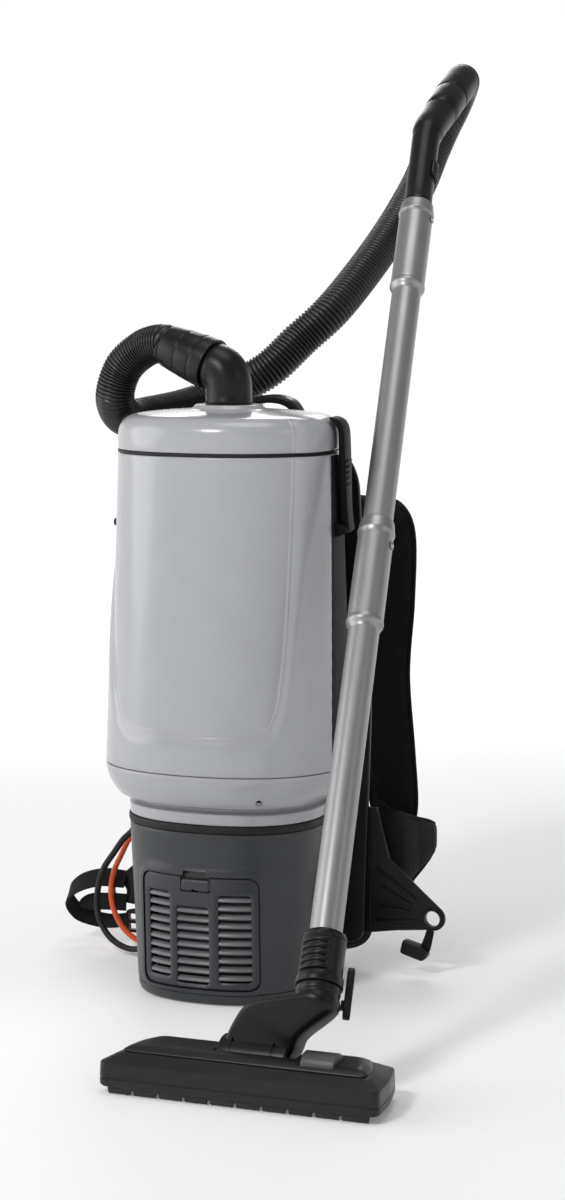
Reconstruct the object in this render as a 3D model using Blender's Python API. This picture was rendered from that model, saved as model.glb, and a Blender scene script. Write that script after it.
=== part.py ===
"""Backpack vacuum cleaner: motor base, dust tank with lid, harness, suction hose, wand and floor nozzle.

Metres, +Z up. The origin is the centre of the base's underside. -Y is the front of the tank,
+Y is the wearer's side, +X is the side on which the wand leans.
"""

from math import cos, pi, radians, sin

import bmesh
import bpy
from mathutils import Matrix, Vector

# ---- driving dimensions ---------------------------------------------------------------------
GAP = 0.0004                    # clearance between pieces that touch
WALL = 0.003                    # moulded shell wall
BODY_POWER = 2.3                # squareness of the tank's plan, 2 is an ellipse
BODY_STEPS = 28                 # facets round the tank

BASE_PLATE_TOP = 0.012
BASE_TOP = 0.1875
SEAL_TOP = 0.1965
DECK_TOP = 0.2518               # horizontal split line low on the tank
TANK_BOTTOM = 0.2524
TANK_TOP = 0.5885
LID_BOTTOM = 0.5925
LID_TOP = 0.6365

PLATE_Y = 0.1190                # front face of the harness plate
PLATE_THICK = 0.006
PAD_Y = PLATE_Y + PLATE_THICK + 0.006

GRILLE_HALF = 0.0675
GRILLE_LOW = 0.0175
GRILLE_HIGH = 0.1405
GRILLE_CORNER = 0.012

CLIP_SIDE_Y = 0.017             # where the lid clips sit along the side
CLIP_HALF = 0.018
CLIP_PIVOT_Z = 0.508
CLIP_PIVOT_OUT = 0.0088

TUBE_R = 0.016                  # 32 mm steel wand
SOCKET_R = 0.01875
TUBE_WALL = 0.0012
WAND_LOW = Vector((0.238, -0.325, 0.148))      # wand axis at the floor cuff's mouth
WAND_HIGH = Vector((0.132, 0.235, 0.860))      # wand axis at the top socket's rim
SOCKET_LENGTH = 0.125
TUBE_OVERLAP = 0.095
LOWER_SOCKET_TOP = 0.4760       # along the wand axis from the floor cuff's mouth
CUFF_DEPTH = 0.0550             # floor cuff below its mouth
HANDLE_PLUG = 0.070             # handle inside the upper tube

HANDLE_STRAIGHT = 0.100
HANDLE_GRIP = 0.095
GRIP_DIRECTION = Vector((-0.007, 0.887, 0.461)).normalized()
BEND_LEAD = 0.040               # straight part of the handle's hose bend
BEND_RADIUS = 0.030
BEND_ANGLE = radians(150)
BEND_SIDE = Vector((-0.467, 0.405, -0.786))     # the side to which the hose bend turns back

ELBOW_FOOT = 0.6400             # underside of the elbow's collar, on the lid
ELBOW_CORNER = Vector((0, 0, 0.6740))
ELBOW_BEND = 0.016              # how far the bend reaches from its corner
ELBOW_R = 0.0252
ELBOW_BORE = 0.0195
ELBOW_REACH = 0.0330            # from the corner to the outlet's rim
CUFF_START = 0.0215             # from the corner to the cuff's rim
CUFF_LENGTH = 0.0600

HOSE_R = 0.0205
CUFF_DIRECTION = Vector((-0.93, 0.15, 0.33)).normalized()
HOSE_SPLIT = Vector((-0.0997, 0.1500, 0.6322))     # where the loop on the lid meets the run to the handle
HOSE_STEP = 0.022               # distance between the hose's rings
HOSE_SIDES = 10

NOZZLE_X = 0.187                # centre of the floor nozzle
NOZZLE_HALF = 0.1437
NOZZLE_FRONT = -0.430
NOZZLE_BACK = -0.338
PIVOT = Vector((NOZZLE_X, -0.372, 0.031))       # nozzle pitch axis, along X
BARREL_R = 0.0238
BARREL_HALF = 0.0350
SOLE = 0.0068                   # underside of the nozzle's body
COVER_SPLIT = 0.0385
PEDAL_X = 0.2610
PEDAL_HALF = 0.0170
PEDAL_R = 0.0115
PEDAL_AXIS = Vector((PEDAL_X - PEDAL_HALF, -0.3930, 0.0370))
BRUSH_ROWS = (("brush_front", -0.4245), ("brush_rear", -0.3510))
BRUSH_HALF_X = 0.1330
BRUSH_HALF_Y = 0.0024
BRUSH_TOP = 0.0115
BRUSH_TRAVEL = 0.0040
WHEEL_R = 0.0085
WHEEL_Y = -0.3500

CARRY_HALF = 0.036              # half the carry handle's width

LEAD_R = 0.00325                # mains lead, 6.5 mm
PIGTAIL_R = 0.0036              # rubber lead between switch box and motor, 7.2 mm
COIL_CENTRE = Vector((-0.150, 0.345, 0.0))
COIL_MEAN_R = 0.0585
COIL_TURNS_ACROSS = 5
COIL_TURNS_HIGH = 5
COIL_PITCH = 0.0067
PLUG_R = 0.0185

BOX_LOW = Vector((-0.1500, 0.0950, 0.1250))
BOX_HIGH = Vector((-0.1190, PLATE_Y + PLATE_THICK, 0.1860))
CABLE_TILT = Vector((-0.75, 0, -0.66)).normalized()
PIGTAIL_EXIT = Vector((-0.1508, 0.1030, 0.1540))
LEAD_EXIT = Vector((-0.1508, 0.1170, 0.1510))
BOOT_LENGTH = 0.0200
GLAND_DIRECTION = Vector((-0.88, 0.475, 0)).normalized()
GLAND_PLACE = Vector((-0.0905, 0.0475, 0.0240))

WAND_AXIS = (WAND_HIGH - WAND_LOW).normalized()
WAND_LENGTH = (WAND_HIGH - WAND_LOW).length

COLOURS = {
    "tank_grey": ((0.36, 0.37, 0.39), 0.32, 0.0),
    "base_grey": ((0.045, 0.047, 0.052), 0.5, 0.0),
    "black_plastic": ((0.012, 0.012, 0.013), 0.42, 0.0),
    "black_rubber": ((0.010, 0.010, 0.010), 0.7, 0.0),
    "hose_plastic": ((0.013, 0.013, 0.014), 0.5, 0.0),
    "wand_steel": ((0.50, 0.51, 0.52), 0.35, 1.0),
    "zinc": ((0.45, 0.45, 0.46), 0.4, 1.0),
    "webbing": ((0.010, 0.010, 0.011), 0.9, 0.0),
    "pad_fabric": ((0.008, 0.008, 0.009), 0.95, 0.0),
    "filter_paper": ((0.62, 0.60, 0.55), 0.95, 0.0),
    "filter_cloth": ((0.30, 0.33, 0.38), 0.95, 0.0),
    "foam": ((0.10, 0.10, 0.11), 0.98, 0.0),
    "motor_plastic": ((0.09, 0.09, 0.10), 0.5, 0.0),
    "orange_cable": ((0.75, 0.10, 0.03), 0.45, 0.0),
    "brush_hair": ((0.015, 0.015, 0.015), 0.9, 0.0),
}


# ---- scene and object helpers ----------------------------------------------------------------
def clear_scene():
    for item in list(bpy.data.objects):
        bpy.data.objects.remove(item, do_unlink=True)


def material(name):
    found = bpy.data.materials.get(name)
    if found:
        return found
    colour, roughness, metallic = COLOURS[name]
    made = bpy.data.materials.new(name)
    made.use_nodes = True
    shader = made.node_tree.nodes["Principled BSDF"]
    shader.inputs["Base Color"].default_value = (*colour, 1.0)
    shader.inputs["Roughness"].default_value = roughness
    shader.inputs["Metallic"].default_value = metallic
    return made


def add_mesh(name, bm, look, sharp=35):
    """Close a bmesh into a named object with outward faces and smooth round sides."""
    bmesh.ops.recalc_face_normals(bm, faces=bm.faces)
    mesh = bpy.data.meshes.new(name)
    bm.to_mesh(mesh)
    bm.free()
    mesh.shade_smooth()
    mesh.set_sharp_from_angle(angle=radians(sharp))
    made = bpy.data.objects.new(name, mesh)
    bpy.context.scene.collection.objects.link(made)
    if look:
        mesh.materials.append(material(look))
    return made


def hide_tool(tool):
    tool.hide_render = True
    tool.display_type = "WIRE"


def boolean(target, tool, operation="DIFFERENCE"):
    modifier = target.modifiers.new(operation.title(), "BOOLEAN")
    modifier.operation = operation
    modifier.object = tool
    modifier.solver = "EXACT"
    hide_tool(tool)


# ---- shapes ----------------------------------------------------------------------------------
def add_ring(bm, points):
    return [bm.verts.new(point) for point in points]


def bridge(bm, low, high):
    count = len(low)
    for i in range(count):
        j = (i + 1) % count
        bm.faces.new((low[i], low[j], high[j], high[i]))


def loft(name, rings, look, closed=False, sharp=35):
    """Skin a list of point rings. closed joins the last ring to the first, which leaves a hole through."""
    bm = bmesh.new()
    made = [add_ring(bm, ring) for ring in rings]
    for low, high in zip(made, made[1:]):
        bridge(bm, low, high)
    if closed:
        bridge(bm, made[-1], made[0])
    else:
        bm.faces.new(reversed(made[0]))
        bm.faces.new(made[-1])
    return add_mesh(name, bm, look, sharp)


def signed_power(value, power):
    return (1 if value >= 0 else -1) * abs(value) ** power


def plan_point(angle, half, front, back, power=BODY_POWER):
    x = half * signed_power(cos(angle), 2 / power)
    y = signed_power(sin(angle), 2 / power)
    return x, y * (back if y > 0 else front)


def plan_ring(z, half, front, back, power=BODY_POWER, steps=BODY_STEPS, centre=(0, 0)):
    ring = []
    for i in range(steps):
        x, y = plan_point(2 * pi * i / steps, half, front, back, power)
        ring.append((centre[0] + x, centre[1] + y, z))
    return ring


def body_ring(z, inset=0.0):
    """Ring of the grey body's outer wall at height z, moved inward by inset."""
    half, front, back = body_size(z)
    return plan_ring(z, half - inset, front - inset, back - inset)


def body_size(z):
    """Half width, front depth and back depth of the grey tank wall at height z."""
    part = (z - TANK_BOTTOM) / (TANK_TOP - TANK_BOTTOM)
    return 0.1340 - 0.0120 * part, 0.1160 - 0.0055 * part, 0.1130 - 0.0060 * part


def base_ring(z, inset=0.0):
    part = z / BASE_TOP
    return plan_ring(z, 0.0985 + 0.0095 * part - inset, 0.0910 + 0.0040 * part - inset,
                     0.0870 + 0.0030 * part - inset)


def shell(name, outer, inner, look):
    """A wall open at both ends: up the outside, down the inside."""
    return loft(name, outer + inner[::-1], look, closed=True)


def frame_on(axis):
    """Two directions square to axis and to each other."""
    axis = Vector(axis).normalized()
    helper = Vector((0, 0, 1)) if abs(axis.z) < 0.9 else Vector((1, 0, 0))
    side = axis.cross(helper).normalized()
    return side, axis.cross(side).normalized()


def circle(centre, axis, radius, steps):
    side, up = frame_on(axis)
    ring = []
    for i in range(steps):
        angle = 2 * pi * i / steps
        ring.append(Vector(centre) + side * radius * cos(angle) + up * radius * sin(angle))
    return ring


def turned(name, start, axis, profile, look, steps=24, hole=False, sharp=35):
    """Turn (distance along axis, radius) pairs about an axis. hole closes the profile on itself."""
    axis = Vector(axis).normalized()
    rings = [circle(Vector(start) + axis * along, axis, radius, steps) for along, radius in profile]
    return loft(name, rings, look, closed=hole, sharp=sharp)


def box(name, low, high, look, bevel=0.0):
    bm = bmesh.new()
    bmesh.ops.create_cube(bm, size=1.0)
    low, high = Vector(low), Vector(high)
    size = high - low
    for vert in bm.verts:
        vert.co = Vector(((vert.co.x + 0.5) * size.x, (vert.co.y + 0.5) * size.y,
                          (vert.co.z + 0.5) * size.z)) + low
    if bevel:
        bmesh.ops.bevel(bm, geom=bm.edges[:], offset=bevel, segments=1, affect="EDGES", profile=0.5)
    return add_mesh(name, bm, look)


def arc(centre, radius, start, end, steps):
    """Points on an arc in a plane, angles in degrees, both ends included."""
    points = []
    for i in range(steps + 1):
        angle = radians(start + (end - start) * i / steps)
        points.append((centre[0] + radius * cos(angle), centre[1] + radius * sin(angle)))
    return points


def rounded_outline(corners, radius, steps=3):
    """Round each corner of a polygon with a short curve."""
    count = len(corners)
    outline = []
    for i in range(count):
        before, here, after = (Vector(corners[(i + k) % count]) for k in (-1, 0, 1))
        into = (before - here).normalized()
        out = (after - here).normalized()
        reach = min(radius, (before - here).length * 0.45, (after - here).length * 0.45)
        start, end = here + into * reach, here + out * reach
        for k in range(steps + 1):
            t = k / steps
            outline.append(start * (1 - t) ** 2 + here * 2 * t * (1 - t) + end * t * t)
    return outline


def slab(name, outline, low, high, look, axis="Y", bevel=0.0, segments=1):
    """Extrude a flat outline between two positions along Y or Z."""
    bm = bmesh.new()
    rings = []
    for level in (low, high):
        if axis == "Y":
            rings.append([bm.verts.new((p[0], level, p[1])) for p in outline])
        else:
            rings.append([bm.verts.new((p[0], p[1], level)) for p in outline])
    bridge(bm, rings[0], rings[1])
    caps = [bm.faces.new(reversed(rings[0])), bm.faces.new(rings[1])]
    if bevel:
        edges = {edge for cap in caps for edge in cap.edges}
        bmesh.ops.bevel(bm, geom=list(edges), offset=bevel, segments=segments, affect="EDGES", profile=0.6)
    return add_mesh(name, bm, look)


def smooth_route(points, steps):
    """A Catmull-Rom curve through points, with steps pieces between each pair."""
    points = [Vector(p) for p in points]
    padded = [points[0] * 2 - points[1]] + points + [points[-1] * 2 - points[-2]]
    route = []
    for a, b, c, d in zip(padded, padded[1:], padded[2:], padded[3:]):
        for k in range(steps):
            t = k / steps
            route.append(0.5 * ((2 * b) + (c - a) * t + (2 * a - 5 * b + 4 * c - d) * t * t
                                + (3 * b - a - 3 * c + d) * t ** 3))
    route.append(points[-1])
    return route


def even_route(points, spacing):
    """Points a fixed distance apart along the smooth curve through the given points."""
    fine = smooth_route(points, 24)
    lengths = [0.0]
    for a, b in zip(fine, fine[1:]):
        lengths.append(lengths[-1] + (b - a).length)
    count = max(2, round(lengths[-1] / spacing))
    route = []
    index = 0
    for k in range(count + 1):
        target = lengths[-1] * k / count
        while index < len(fine) - 2 and lengths[index + 1] < target:
            index += 1
        span = lengths[index + 1] - lengths[index]
        t = 0 if span == 0 else (target - lengths[index]) / span
        route.append(fine[index].lerp(fine[index + 1], min(1, t)))
    return route


def cord_tube(name, points, radius, spacing, look, resolution=2):
    """A round cord as a curve with a bevel and closed ends."""
    route = even_route(points, spacing)
    curve = bpy.data.curves.new(name, "CURVE")
    curve.dimensions = "3D"
    curve.bevel_depth = radius
    curve.bevel_resolution = resolution
    curve.use_fill_caps = True
    spline = curve.splines.new("POLY")
    spline.points.add(len(route) - 1)
    for point, place in zip(spline.points, route):
        point.co = (*place, 1.0)
    made = bpy.data.objects.new(name, curve)
    bpy.context.scene.collection.objects.link(made)
    curve.materials.append(material(look))
    return made


def ribbon(name, points, width_directions, widths, thickness, look, steps=4):
    """A flat strap along a smooth route. Each point gives the direction and size of its width."""
    route = smooth_route(points, steps)
    directions = smooth_route(width_directions, steps)
    sizes = smooth_route([(w, 0, 0) for w in widths], steps)
    rings = []
    for i, place in enumerate(route):
        ahead = route[min(i + 1, len(route) - 1)] - route[max(i - 1, 0)]
        across = directions[i] - ahead * (directions[i].dot(ahead) / ahead.dot(ahead))
        across = across.normalized() * sizes[i].x / 2
        normal = across.cross(ahead).normalized() * thickness / 2
        rings.append([place - across - normal, place + across - normal,
                      place + across + normal, place - across + normal])
    return loft(name, rings, look)


# ---- motor base ------------------------------------------------------------------------------
def grille_prism(name, grow):
    half = GRILLE_HALF + grow
    low, high = GRILLE_LOW - grow, GRILLE_HIGH + grow
    corners = [(-half, low), (half, low), (half, high), (-half, high)]
    return slab(name, rounded_outline(corners, GRILLE_CORNER + grow, 4), -0.13, -0.035, None)


def make_base():
    plate = [plan_ring(z, half, front, back) for z, half, front, back in (
        (0.0, 0.0930, 0.0855, 0.0815), (0.003, 0.0968, 0.0892, 0.0852), (0.007, 0.0985, 0.0909, 0.0869),
        (BASE_PLATE_TOP, 0.0988, 0.0912, 0.0872))]
    loft("base_plate", plate, "base_grey")

    low, high = BASE_PLATE_TOP + GAP, BASE_TOP
    housing = shell("base_housing", [base_ring(low), base_ring(high)],
                    [base_ring(low, WALL), base_ring(high, WALL)], "base_grey")
    boolean(housing, grille_prism("tool_window", 0.0007))

    low, high = BASE_TOP + GAP, SEAL_TOP
    shell("housing_seal", [base_ring(low, -0.0008), base_ring(high, -0.0008)],
          [base_ring(low, 0.009), base_ring(high, 0.009)], "black_rubber")

    cover = shell("grille_cover", [base_ring(0.012), base_ring(0.146)],
                  [base_ring(0.012, 0.0026), base_ring(0.146, 0.0026)], "base_grey")
    boolean(cover, grille_prism("tool_cover", 0.0), "INTERSECT")
    boolean(cover, louvre_slots())
    boolean(cover, box("tool_latch_notch", (-0.0175, -0.13, 0.1235), (0.0175, -0.05, 0.16), None))

    latch = shell("grille_latch", [base_ring(0.120, -0.0022), base_ring(0.142, -0.0022)],
                  [base_ring(0.120, 0.0024), base_ring(0.142, 0.0024)], "base_grey")
    boolean(latch, box("tool_latch", (-0.0170, -0.13, 0.1240), (0.0170, -0.05, 0.1370), None), "INTERSECT")

    box("exhaust_filter", (-0.0570, -0.0670, 0.0200), (0.0570, -0.0540, 0.1120), "foam", 0.001)


def louvre_slots():
    """Three columns of slots, the middle and right ones taller than the left."""
    columns = ((-0.0560, -0.0370, 9), (-0.0285, 0.0035, 9), (0.0120, 0.0500, 10))
    bm = bmesh.new()
    for left, right, count in columns:
        for i in range(count):
            low = 0.0260 + 0.0098 * i
            matrix = Matrix.Translation(((left + right) / 2, -0.085, low + 0.0030))
            made = bmesh.ops.create_cube(bm, size=1.0)
            for vert in made["verts"]:
                vert.co = matrix @ Vector((vert.co.x * (right - left), vert.co.y * 0.09, vert.co.z * 0.0060))
    return add_mesh("tool_louvres", bm, None)


def make_motor():
    turned("motor_body", (0, 0, 0.030), (0, 0, 1), [(0, 0.030), (0.004, 0.046), (0.080, 0.046), (0.084, 0.040)],
           "motor_plastic", 24)
    turned("fan_case", (0, 0, 0.1145), (0, 0, 1), [(0, 0.050), (0.004, 0.066), (0.050, 0.066), (0.056, 0.058)],
           "zinc", 24)
    turned("motor_filter", (0, 0, TANK_BOTTOM + GAP), (0, 0, 1), [(0, 0.060), (0.014, 0.058)], "foam", 24)


# ---- tank and lid ----------------------------------------------------------------------------
def make_tank():
    neck = [(SEAL_TOP + GAP, 0.1075, 0.0935, 0.0905), (0.210, 0.1085, 0.0945, 0.0915),
            (0.2115, 0.1115, 0.0975, 0.0940), (0.222, 0.1215, 0.1065, 0.1020), (0.236, 0.1305, 0.1135, 0.1100),
            (DECK_TOP, 0.1340, 0.1160, 0.1130)]
    outer = [plan_ring(z, half, front, back) for z, half, front, back in neck]
    inner = [plan_ring(z, half - WALL, front - WALL, back - WALL) for z, half, front, back in neck[:-1]]
    deck = DECK_TOP - WALL
    inner.append(plan_ring(deck, 0.1300, 0.1120, 0.1090))
    inner.append(plan_ring(deck, 0.0420, 0.0420, 0.0420, 2))
    outer.append(plan_ring(DECK_TOP, 0.0420, 0.0420, 0.0420, 2))
    loft("lower_shell", outer + inner[::-1], "tank_grey", closed=True)

    heights = (TANK_BOTTOM, TANK_TOP)
    tank = shell("tank_shell", [body_ring(z) for z in heights], [body_ring(z, WALL) for z in heights], "tank_grey")

    profile = [(LID_BOTTOM, 0.0, 0.0), (0.6095, 0.0, 0.0), (0.6180, 0.0020, 0.0), (0.6245, 0.0070, 0.0),
               (0.6285, 0.0150, 0.0), (0.6300, 0.0240, 0.0), (LID_TOP - 0.0030, 0.0600, 0.5)]
    boss = [(LID_TOP - 0.0015, 0.0410), (0.6395, 0.0350), (0.6395, 0.0236)]
    outer = [lid_ring(z, inset, blend) for z, inset, blend in profile]
    outer += [plan_ring(z, r, r, r, 2) for z, r in boss]
    inner = [lid_ring(LID_BOTTOM, WALL, 0.0), lid_ring(0.6095, WALL, 0.0), lid_ring(0.6225, 0.0090, 0.0),
             lid_ring(0.6268, 0.0240, 0.0)]
    inner += [plan_ring(0.6300, 0.0236, 0.0236, 0.0236, 2)]
    loft("lid", outer + inner[::-1], "tank_grey", closed=True)

    low, high = TANK_TOP + GAP, LID_BOTTOM - GAP
    shell("lid_seal", [body_ring(low, 0.0022), body_ring(high, 0.0022)],
          [body_ring(low, 0.0080), body_ring(high, 0.0080)], "black_rubber")
    return tank


def lid_ring(z, inset, roundness):
    """Ring of the lid: the tank's top size moved inward, blended towards a circle near the inlet."""
    half, front, back = body_size(TANK_TOP)
    plain = plan_ring(z, half - inset, front - inset, back - inset)
    radius = (front + back) / 2 - inset
    round_one = plan_ring(z, radius, radius, radius, 2)
    return [Vector(a).lerp(Vector(b), roundness) for a, b in zip(plain, round_one)]


def make_filters():
    rings = [(0.2720, 0.070), (0.2750, 0.082), (0.30, 0.088), (0.5740, 0.094)]
    outer = [plan_ring(z, r + 0.006, r, r, 2) for z, r in rings]
    inner = [plan_ring(z, r + 0.004, r - 0.002, r - 0.002, 2) for z, r in rings[2:]]
    inner.insert(0, plan_ring(0.2780, 0.080, 0.076, 0.076, 2))
    cup = bmesh.new()
    made = [add_ring(cup, ring) for ring in outer + inner[::-1]]
    for low, high in zip(made, made[1:]):
        bridge(cup, low, high)
    cup.faces.new(reversed(made[0]))
    cup.faces.new(made[-1])
    sack = add_mesh("filter_sack", cup, "filter_cloth")
    boolean(sack, shell("tool_filter_ring", [body_ring(z, WALL + GAP) for z in (0.5700, 0.5840)],
                        [plan_ring(z, 0.0965, 0.0905, 0.0905, 2) for z in (0.5700, 0.5840)], None), "UNION")

    bag = [(0.2810, 0.040), (0.2850, 0.062), (0.31, 0.078), (0.50, 0.083), (0.570, 0.076), (0.588, 0.045)]
    dust_bag = loft("dust_bag", [plan_ring(z, r + 0.004, r, r, 2, 20) for z, r in bag], "filter_paper")
    collar = rounded_outline([(-0.045, -0.045), (0.045, -0.045), (0.045, 0.045), (-0.045, 0.045)], 0.012)
    boolean(dust_bag, slab("tool_bag_collar", collar, 0.5860, 0.5915, None, axis="Z"), "UNION")
    boolean(dust_bag, turned("tool_bag_hole", (0, 0, 0.575), (0, 0, 1), [(0, 0.0228), (0.03, 0.0228)], None, 20))


# ---- lid clips -------------------------------------------------------------------------------
def clip_frame(side):
    """Origin on the tank's side wall, and the outward and sideways directions there."""
    half, front, back = body_size(TANK_TOP)
    x = half * (1 - (CLIP_SIDE_Y / back) ** BODY_POWER) ** (1 / BODY_POWER)
    turn = radians(9)
    out = Vector((side * cos(turn), sin(turn), 0))
    along = Vector((-side * sin(turn), cos(turn), 0))
    return Vector((side * x, CLIP_SIDE_Y, 0)), out, along


def clip_profile():
    """Closed outline of the clip in (outward, up): pivot foot, long arm, hook over the lid's shoulder."""
    foot = arc((CLIP_PIVOT_OUT, CLIP_PIVOT_Z), 0.0046, 360, 180, 4)
    inner = [(0.0036, 0.5200), (0.0025, 0.6100), (-0.0002, 0.6190), (-0.0055, 0.6260),
             (-0.0135, 0.6308), (-0.0185, 0.6320)]
    outer = [(-0.0185, 0.6350), (-0.0120, 0.6352), (-0.0030, 0.6320), (0.0045, 0.6250), (0.0080, 0.6120),
             (0.0092, 0.5900), (0.0112, 0.5300)]
    return foot + inner + outer


def make_clip(side, name, tank):
    origin, out, along = clip_frame(side)
    rings = []
    for reach in (-CLIP_HALF, CLIP_HALF):
        rings.append([origin + out * p[0] + along * reach + Vector((0, 0, p[1])) for p in clip_profile()])
    clip = loft("lid_clip_" + name, rings, "black_plastic")
    pin_at = origin + out * CLIP_PIVOT_OUT + Vector((0, 0, CLIP_PIVOT_Z))
    start = pin_at - along * (CLIP_HALF + 0.01)
    span = 2 * CLIP_HALF + 0.02
    boolean(clip, turned("tool_clip_bore_" + name, start, along, [(0, 0.0024), (span, 0.0024)], None, 12))

    reach = CLIP_HALF + 0.0006
    ear = 0.0030
    bracket = bmesh.new()
    for sign in (-1, 1):
        near, far = sorted((sign * reach, sign * (reach + ear)))
        add_prism(bracket, origin, out, along, near, far, (-0.0045, 0.0126), (0.5015, 0.5145))
    ears = add_mesh("tool_clip_ears_" + name, bracket, None)
    boolean(tank, ears, "UNION")
    start = pin_at - along * (reach + ear * 0.5)
    pin = turned("tool_clip_pin_" + name, start, along, [(0, 0.0020), (2 * reach + ear, 0.0020)], None, 12)
    boolean(tank, pin, "UNION")


def add_prism(bm, origin, out, along, near, far, reach, heights):
    made = bmesh.ops.create_cube(bm, size=1.0)
    for vert in made["verts"]:
        u = reach[0] if vert.co.x < 0 else reach[1]
        v = near if vert.co.y < 0 else far
        w = heights[0] if vert.co.z < 0 else heights[1]
        vert.co = origin + out * u + along * v + Vector((0, 0, w))


# ---- elbow, hose cuff and hose ---------------------------------------------------------------
def swept(name, places, axes, radii, inner, look, steps=16):
    """A bent tube: outer radii along the way out, inner radii on the way back, None where it runs straight."""
    outside = [ring_towards(p, a, r, steps) for p, a, r in zip(places, axes, radii)]
    inside = [ring_towards(p, a, r, steps) for p, a, r in zip(places, axes, inner) if r]
    return loft(name, outside + inside[::-1], look, closed=True)


def ring_towards(centre, axis, radius, steps):
    """A circle whose first point lies on the side nearest +Y, so that rings of a bend line up."""
    axis = Vector(axis).normalized()
    side = Vector((0, 1, 0))
    side = (side - axis * side.dot(axis)).normalized()
    up = axis.cross(side)
    return [Vector(centre) + side * radius * cos(2 * pi * i / steps) + up * radius * sin(2 * pi * i / steps)
            for i in range(steps)]


def make_elbow():
    up, out = Vector((0, 0, 1)), CUFF_DIRECTION
    places, axes, radii, bores = [], [], [], []
    for z, radius, bore in ((0.5935, 0.0225, ELBOW_BORE), (ELBOW_FOOT - GAP, 0.0225, None),
                            (ELBOW_FOOT, ELBOW_R, None)):
        places.append(Vector((0, 0, z)))
        axes.append(up)
        radii.append(radius)
        bores.append(bore)
    steps = 4
    for i in range(steps + 1):
        t = i / steps
        start, end = ELBOW_CORNER - up * ELBOW_BEND, ELBOW_CORNER + out * ELBOW_BEND * 0.8
        places.append(start * (1 - t) ** 2 + ELBOW_CORNER * 2 * t * (1 - t) + end * t * t)
        axes.append((up * (1 - t) + out * t).normalized())
        radii.append(ELBOW_R)
        bores.append(ELBOW_BORE)
    for reach, radius, bore in ((CUFF_START - GAP, ELBOW_R, None), (CUFF_START - GAP, 0.0222, None),
                                (ELBOW_REACH, 0.0222, ELBOW_BORE)):
        places.append(ELBOW_CORNER + out * reach)
        axes.append(out)
        radii.append(radius)
        bores.append(bore)
    swept("inlet_elbow", places, axes, radii, bores, "black_plastic", 16)

    start = ELBOW_CORNER + out * CUFF_START
    turned("hose_cuff", start, out,
           [(0, 0.0226), (0, 0.0282), (0.016, 0.0280), (0.034, 0.0262), (CUFF_LENGTH, 0.0232),
            (CUFF_LENGTH, 0.0150), (0.016, 0.0150), (0.016, 0.0226)], "black_plastic", 18, hole=True)


def hose_points():
    """The hose's centreline: out of the elbow's cuff, down in a loop, behind the lid and up to the handle."""
    start = ELBOW_CORNER + CUFF_DIRECTION * (CUFF_START + CUFF_LENGTH + GAP)
    places, axes = bend_route()
    end = places[-1] + axes[-1] * GAP
    loop = [start, start + CUFF_DIRECTION * 0.008, Vector((-0.1080, 0.0175, 0.6975)),
            Vector((-0.1335, 0.0180, 0.6760)), Vector((-0.1468, 0.0240, 0.6424)),
            Vector((-0.1500, 0.0580, 0.6200)), Vector((-0.1379, 0.1000, 0.6200)), HOSE_SPLIT]
    run = [HOSE_SPLIT, Vector((-0.0312, 0.1720, 0.6665)), Vector((0.0048, 0.1950, 0.7036)),
           Vector((0.0394, 0.2220, 0.7430)), Vector((0.0664, 0.3000, 0.8112)), Vector((0.0784, 0.3800, 0.8761)),
           Vector((0.0838, 0.4250, 0.9243)), end + axes[-1] * 0.010, end]
    return loop, run


def bend_route():
    """Centreline of the bend that turns the hose back under the handle, and its direction at each point."""
    side = (BEND_SIDE - GRIP_DIRECTION * BEND_SIDE.dot(GRIP_DIRECTION)).normalized()
    start = handle_end() + GRIP_DIRECTION * GAP
    corner = start + GRIP_DIRECTION * BEND_LEAD
    places, axes = [start], [GRIP_DIRECTION]
    steps = 6
    for i in range(steps + 1):
        angle = BEND_ANGLE * i / steps
        places.append(corner + (GRIP_DIRECTION * sin(angle) + side * (1 - cos(angle))) * BEND_RADIUS)
        axes.append(GRIP_DIRECTION * cos(angle) + side * sin(angle))
    return places, axes


def handle_end():
    return WAND_HIGH + WAND_AXIS * HANDLE_STRAIGHT + GRIP_DIRECTION * HANDLE_GRIP


def make_hose():
    """Two tubes that meet behind the lid, so that each can bend with the piece it hangs on."""
    loop, run = hose_points()
    route = even_route(loop + run[1:], HOSE_STEP)
    axes = [(after - before).normalized() for before, after in zip(route, route[2:])]
    axes = [CUFF_DIRECTION] + axes + [-bend_route()[1][-1]]
    split = min(range(len(route)), key=lambda i: (route[i] - HOSE_SPLIT).length)
    hose_tube("hose_loop", route[:split + 1], axes[:split + 1], 0.0, -GAP)
    hose_tube("hose_run", route[split:], axes[split:], GAP, 0.0)


def hose_tube(name, route, axes, first_shift, last_shift):
    side = frame_on(axes[0])[0]
    rings = []
    for i, (place, axis) in enumerate(zip(route, axes)):
        side = (side - axis * side.dot(axis)).normalized()
        up = axis.cross(side)
        shift = first_shift if i == 0 else last_shift if i == len(route) - 1 else 0.0
        rings.append([place + axis * shift + side * HOSE_R * cos(2 * pi * k / HOSE_SIDES)
                      + up * HOSE_R * sin(2 * pi * k / HOSE_SIDES) for k in range(HOSE_SIDES)])
    loft(name, rings, "hose_plastic", sharp=60)


# ---- wand ------------------------------------------------------------------------------------
def wand_at(distance):
    return WAND_LOW + WAND_AXIS * distance


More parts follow.
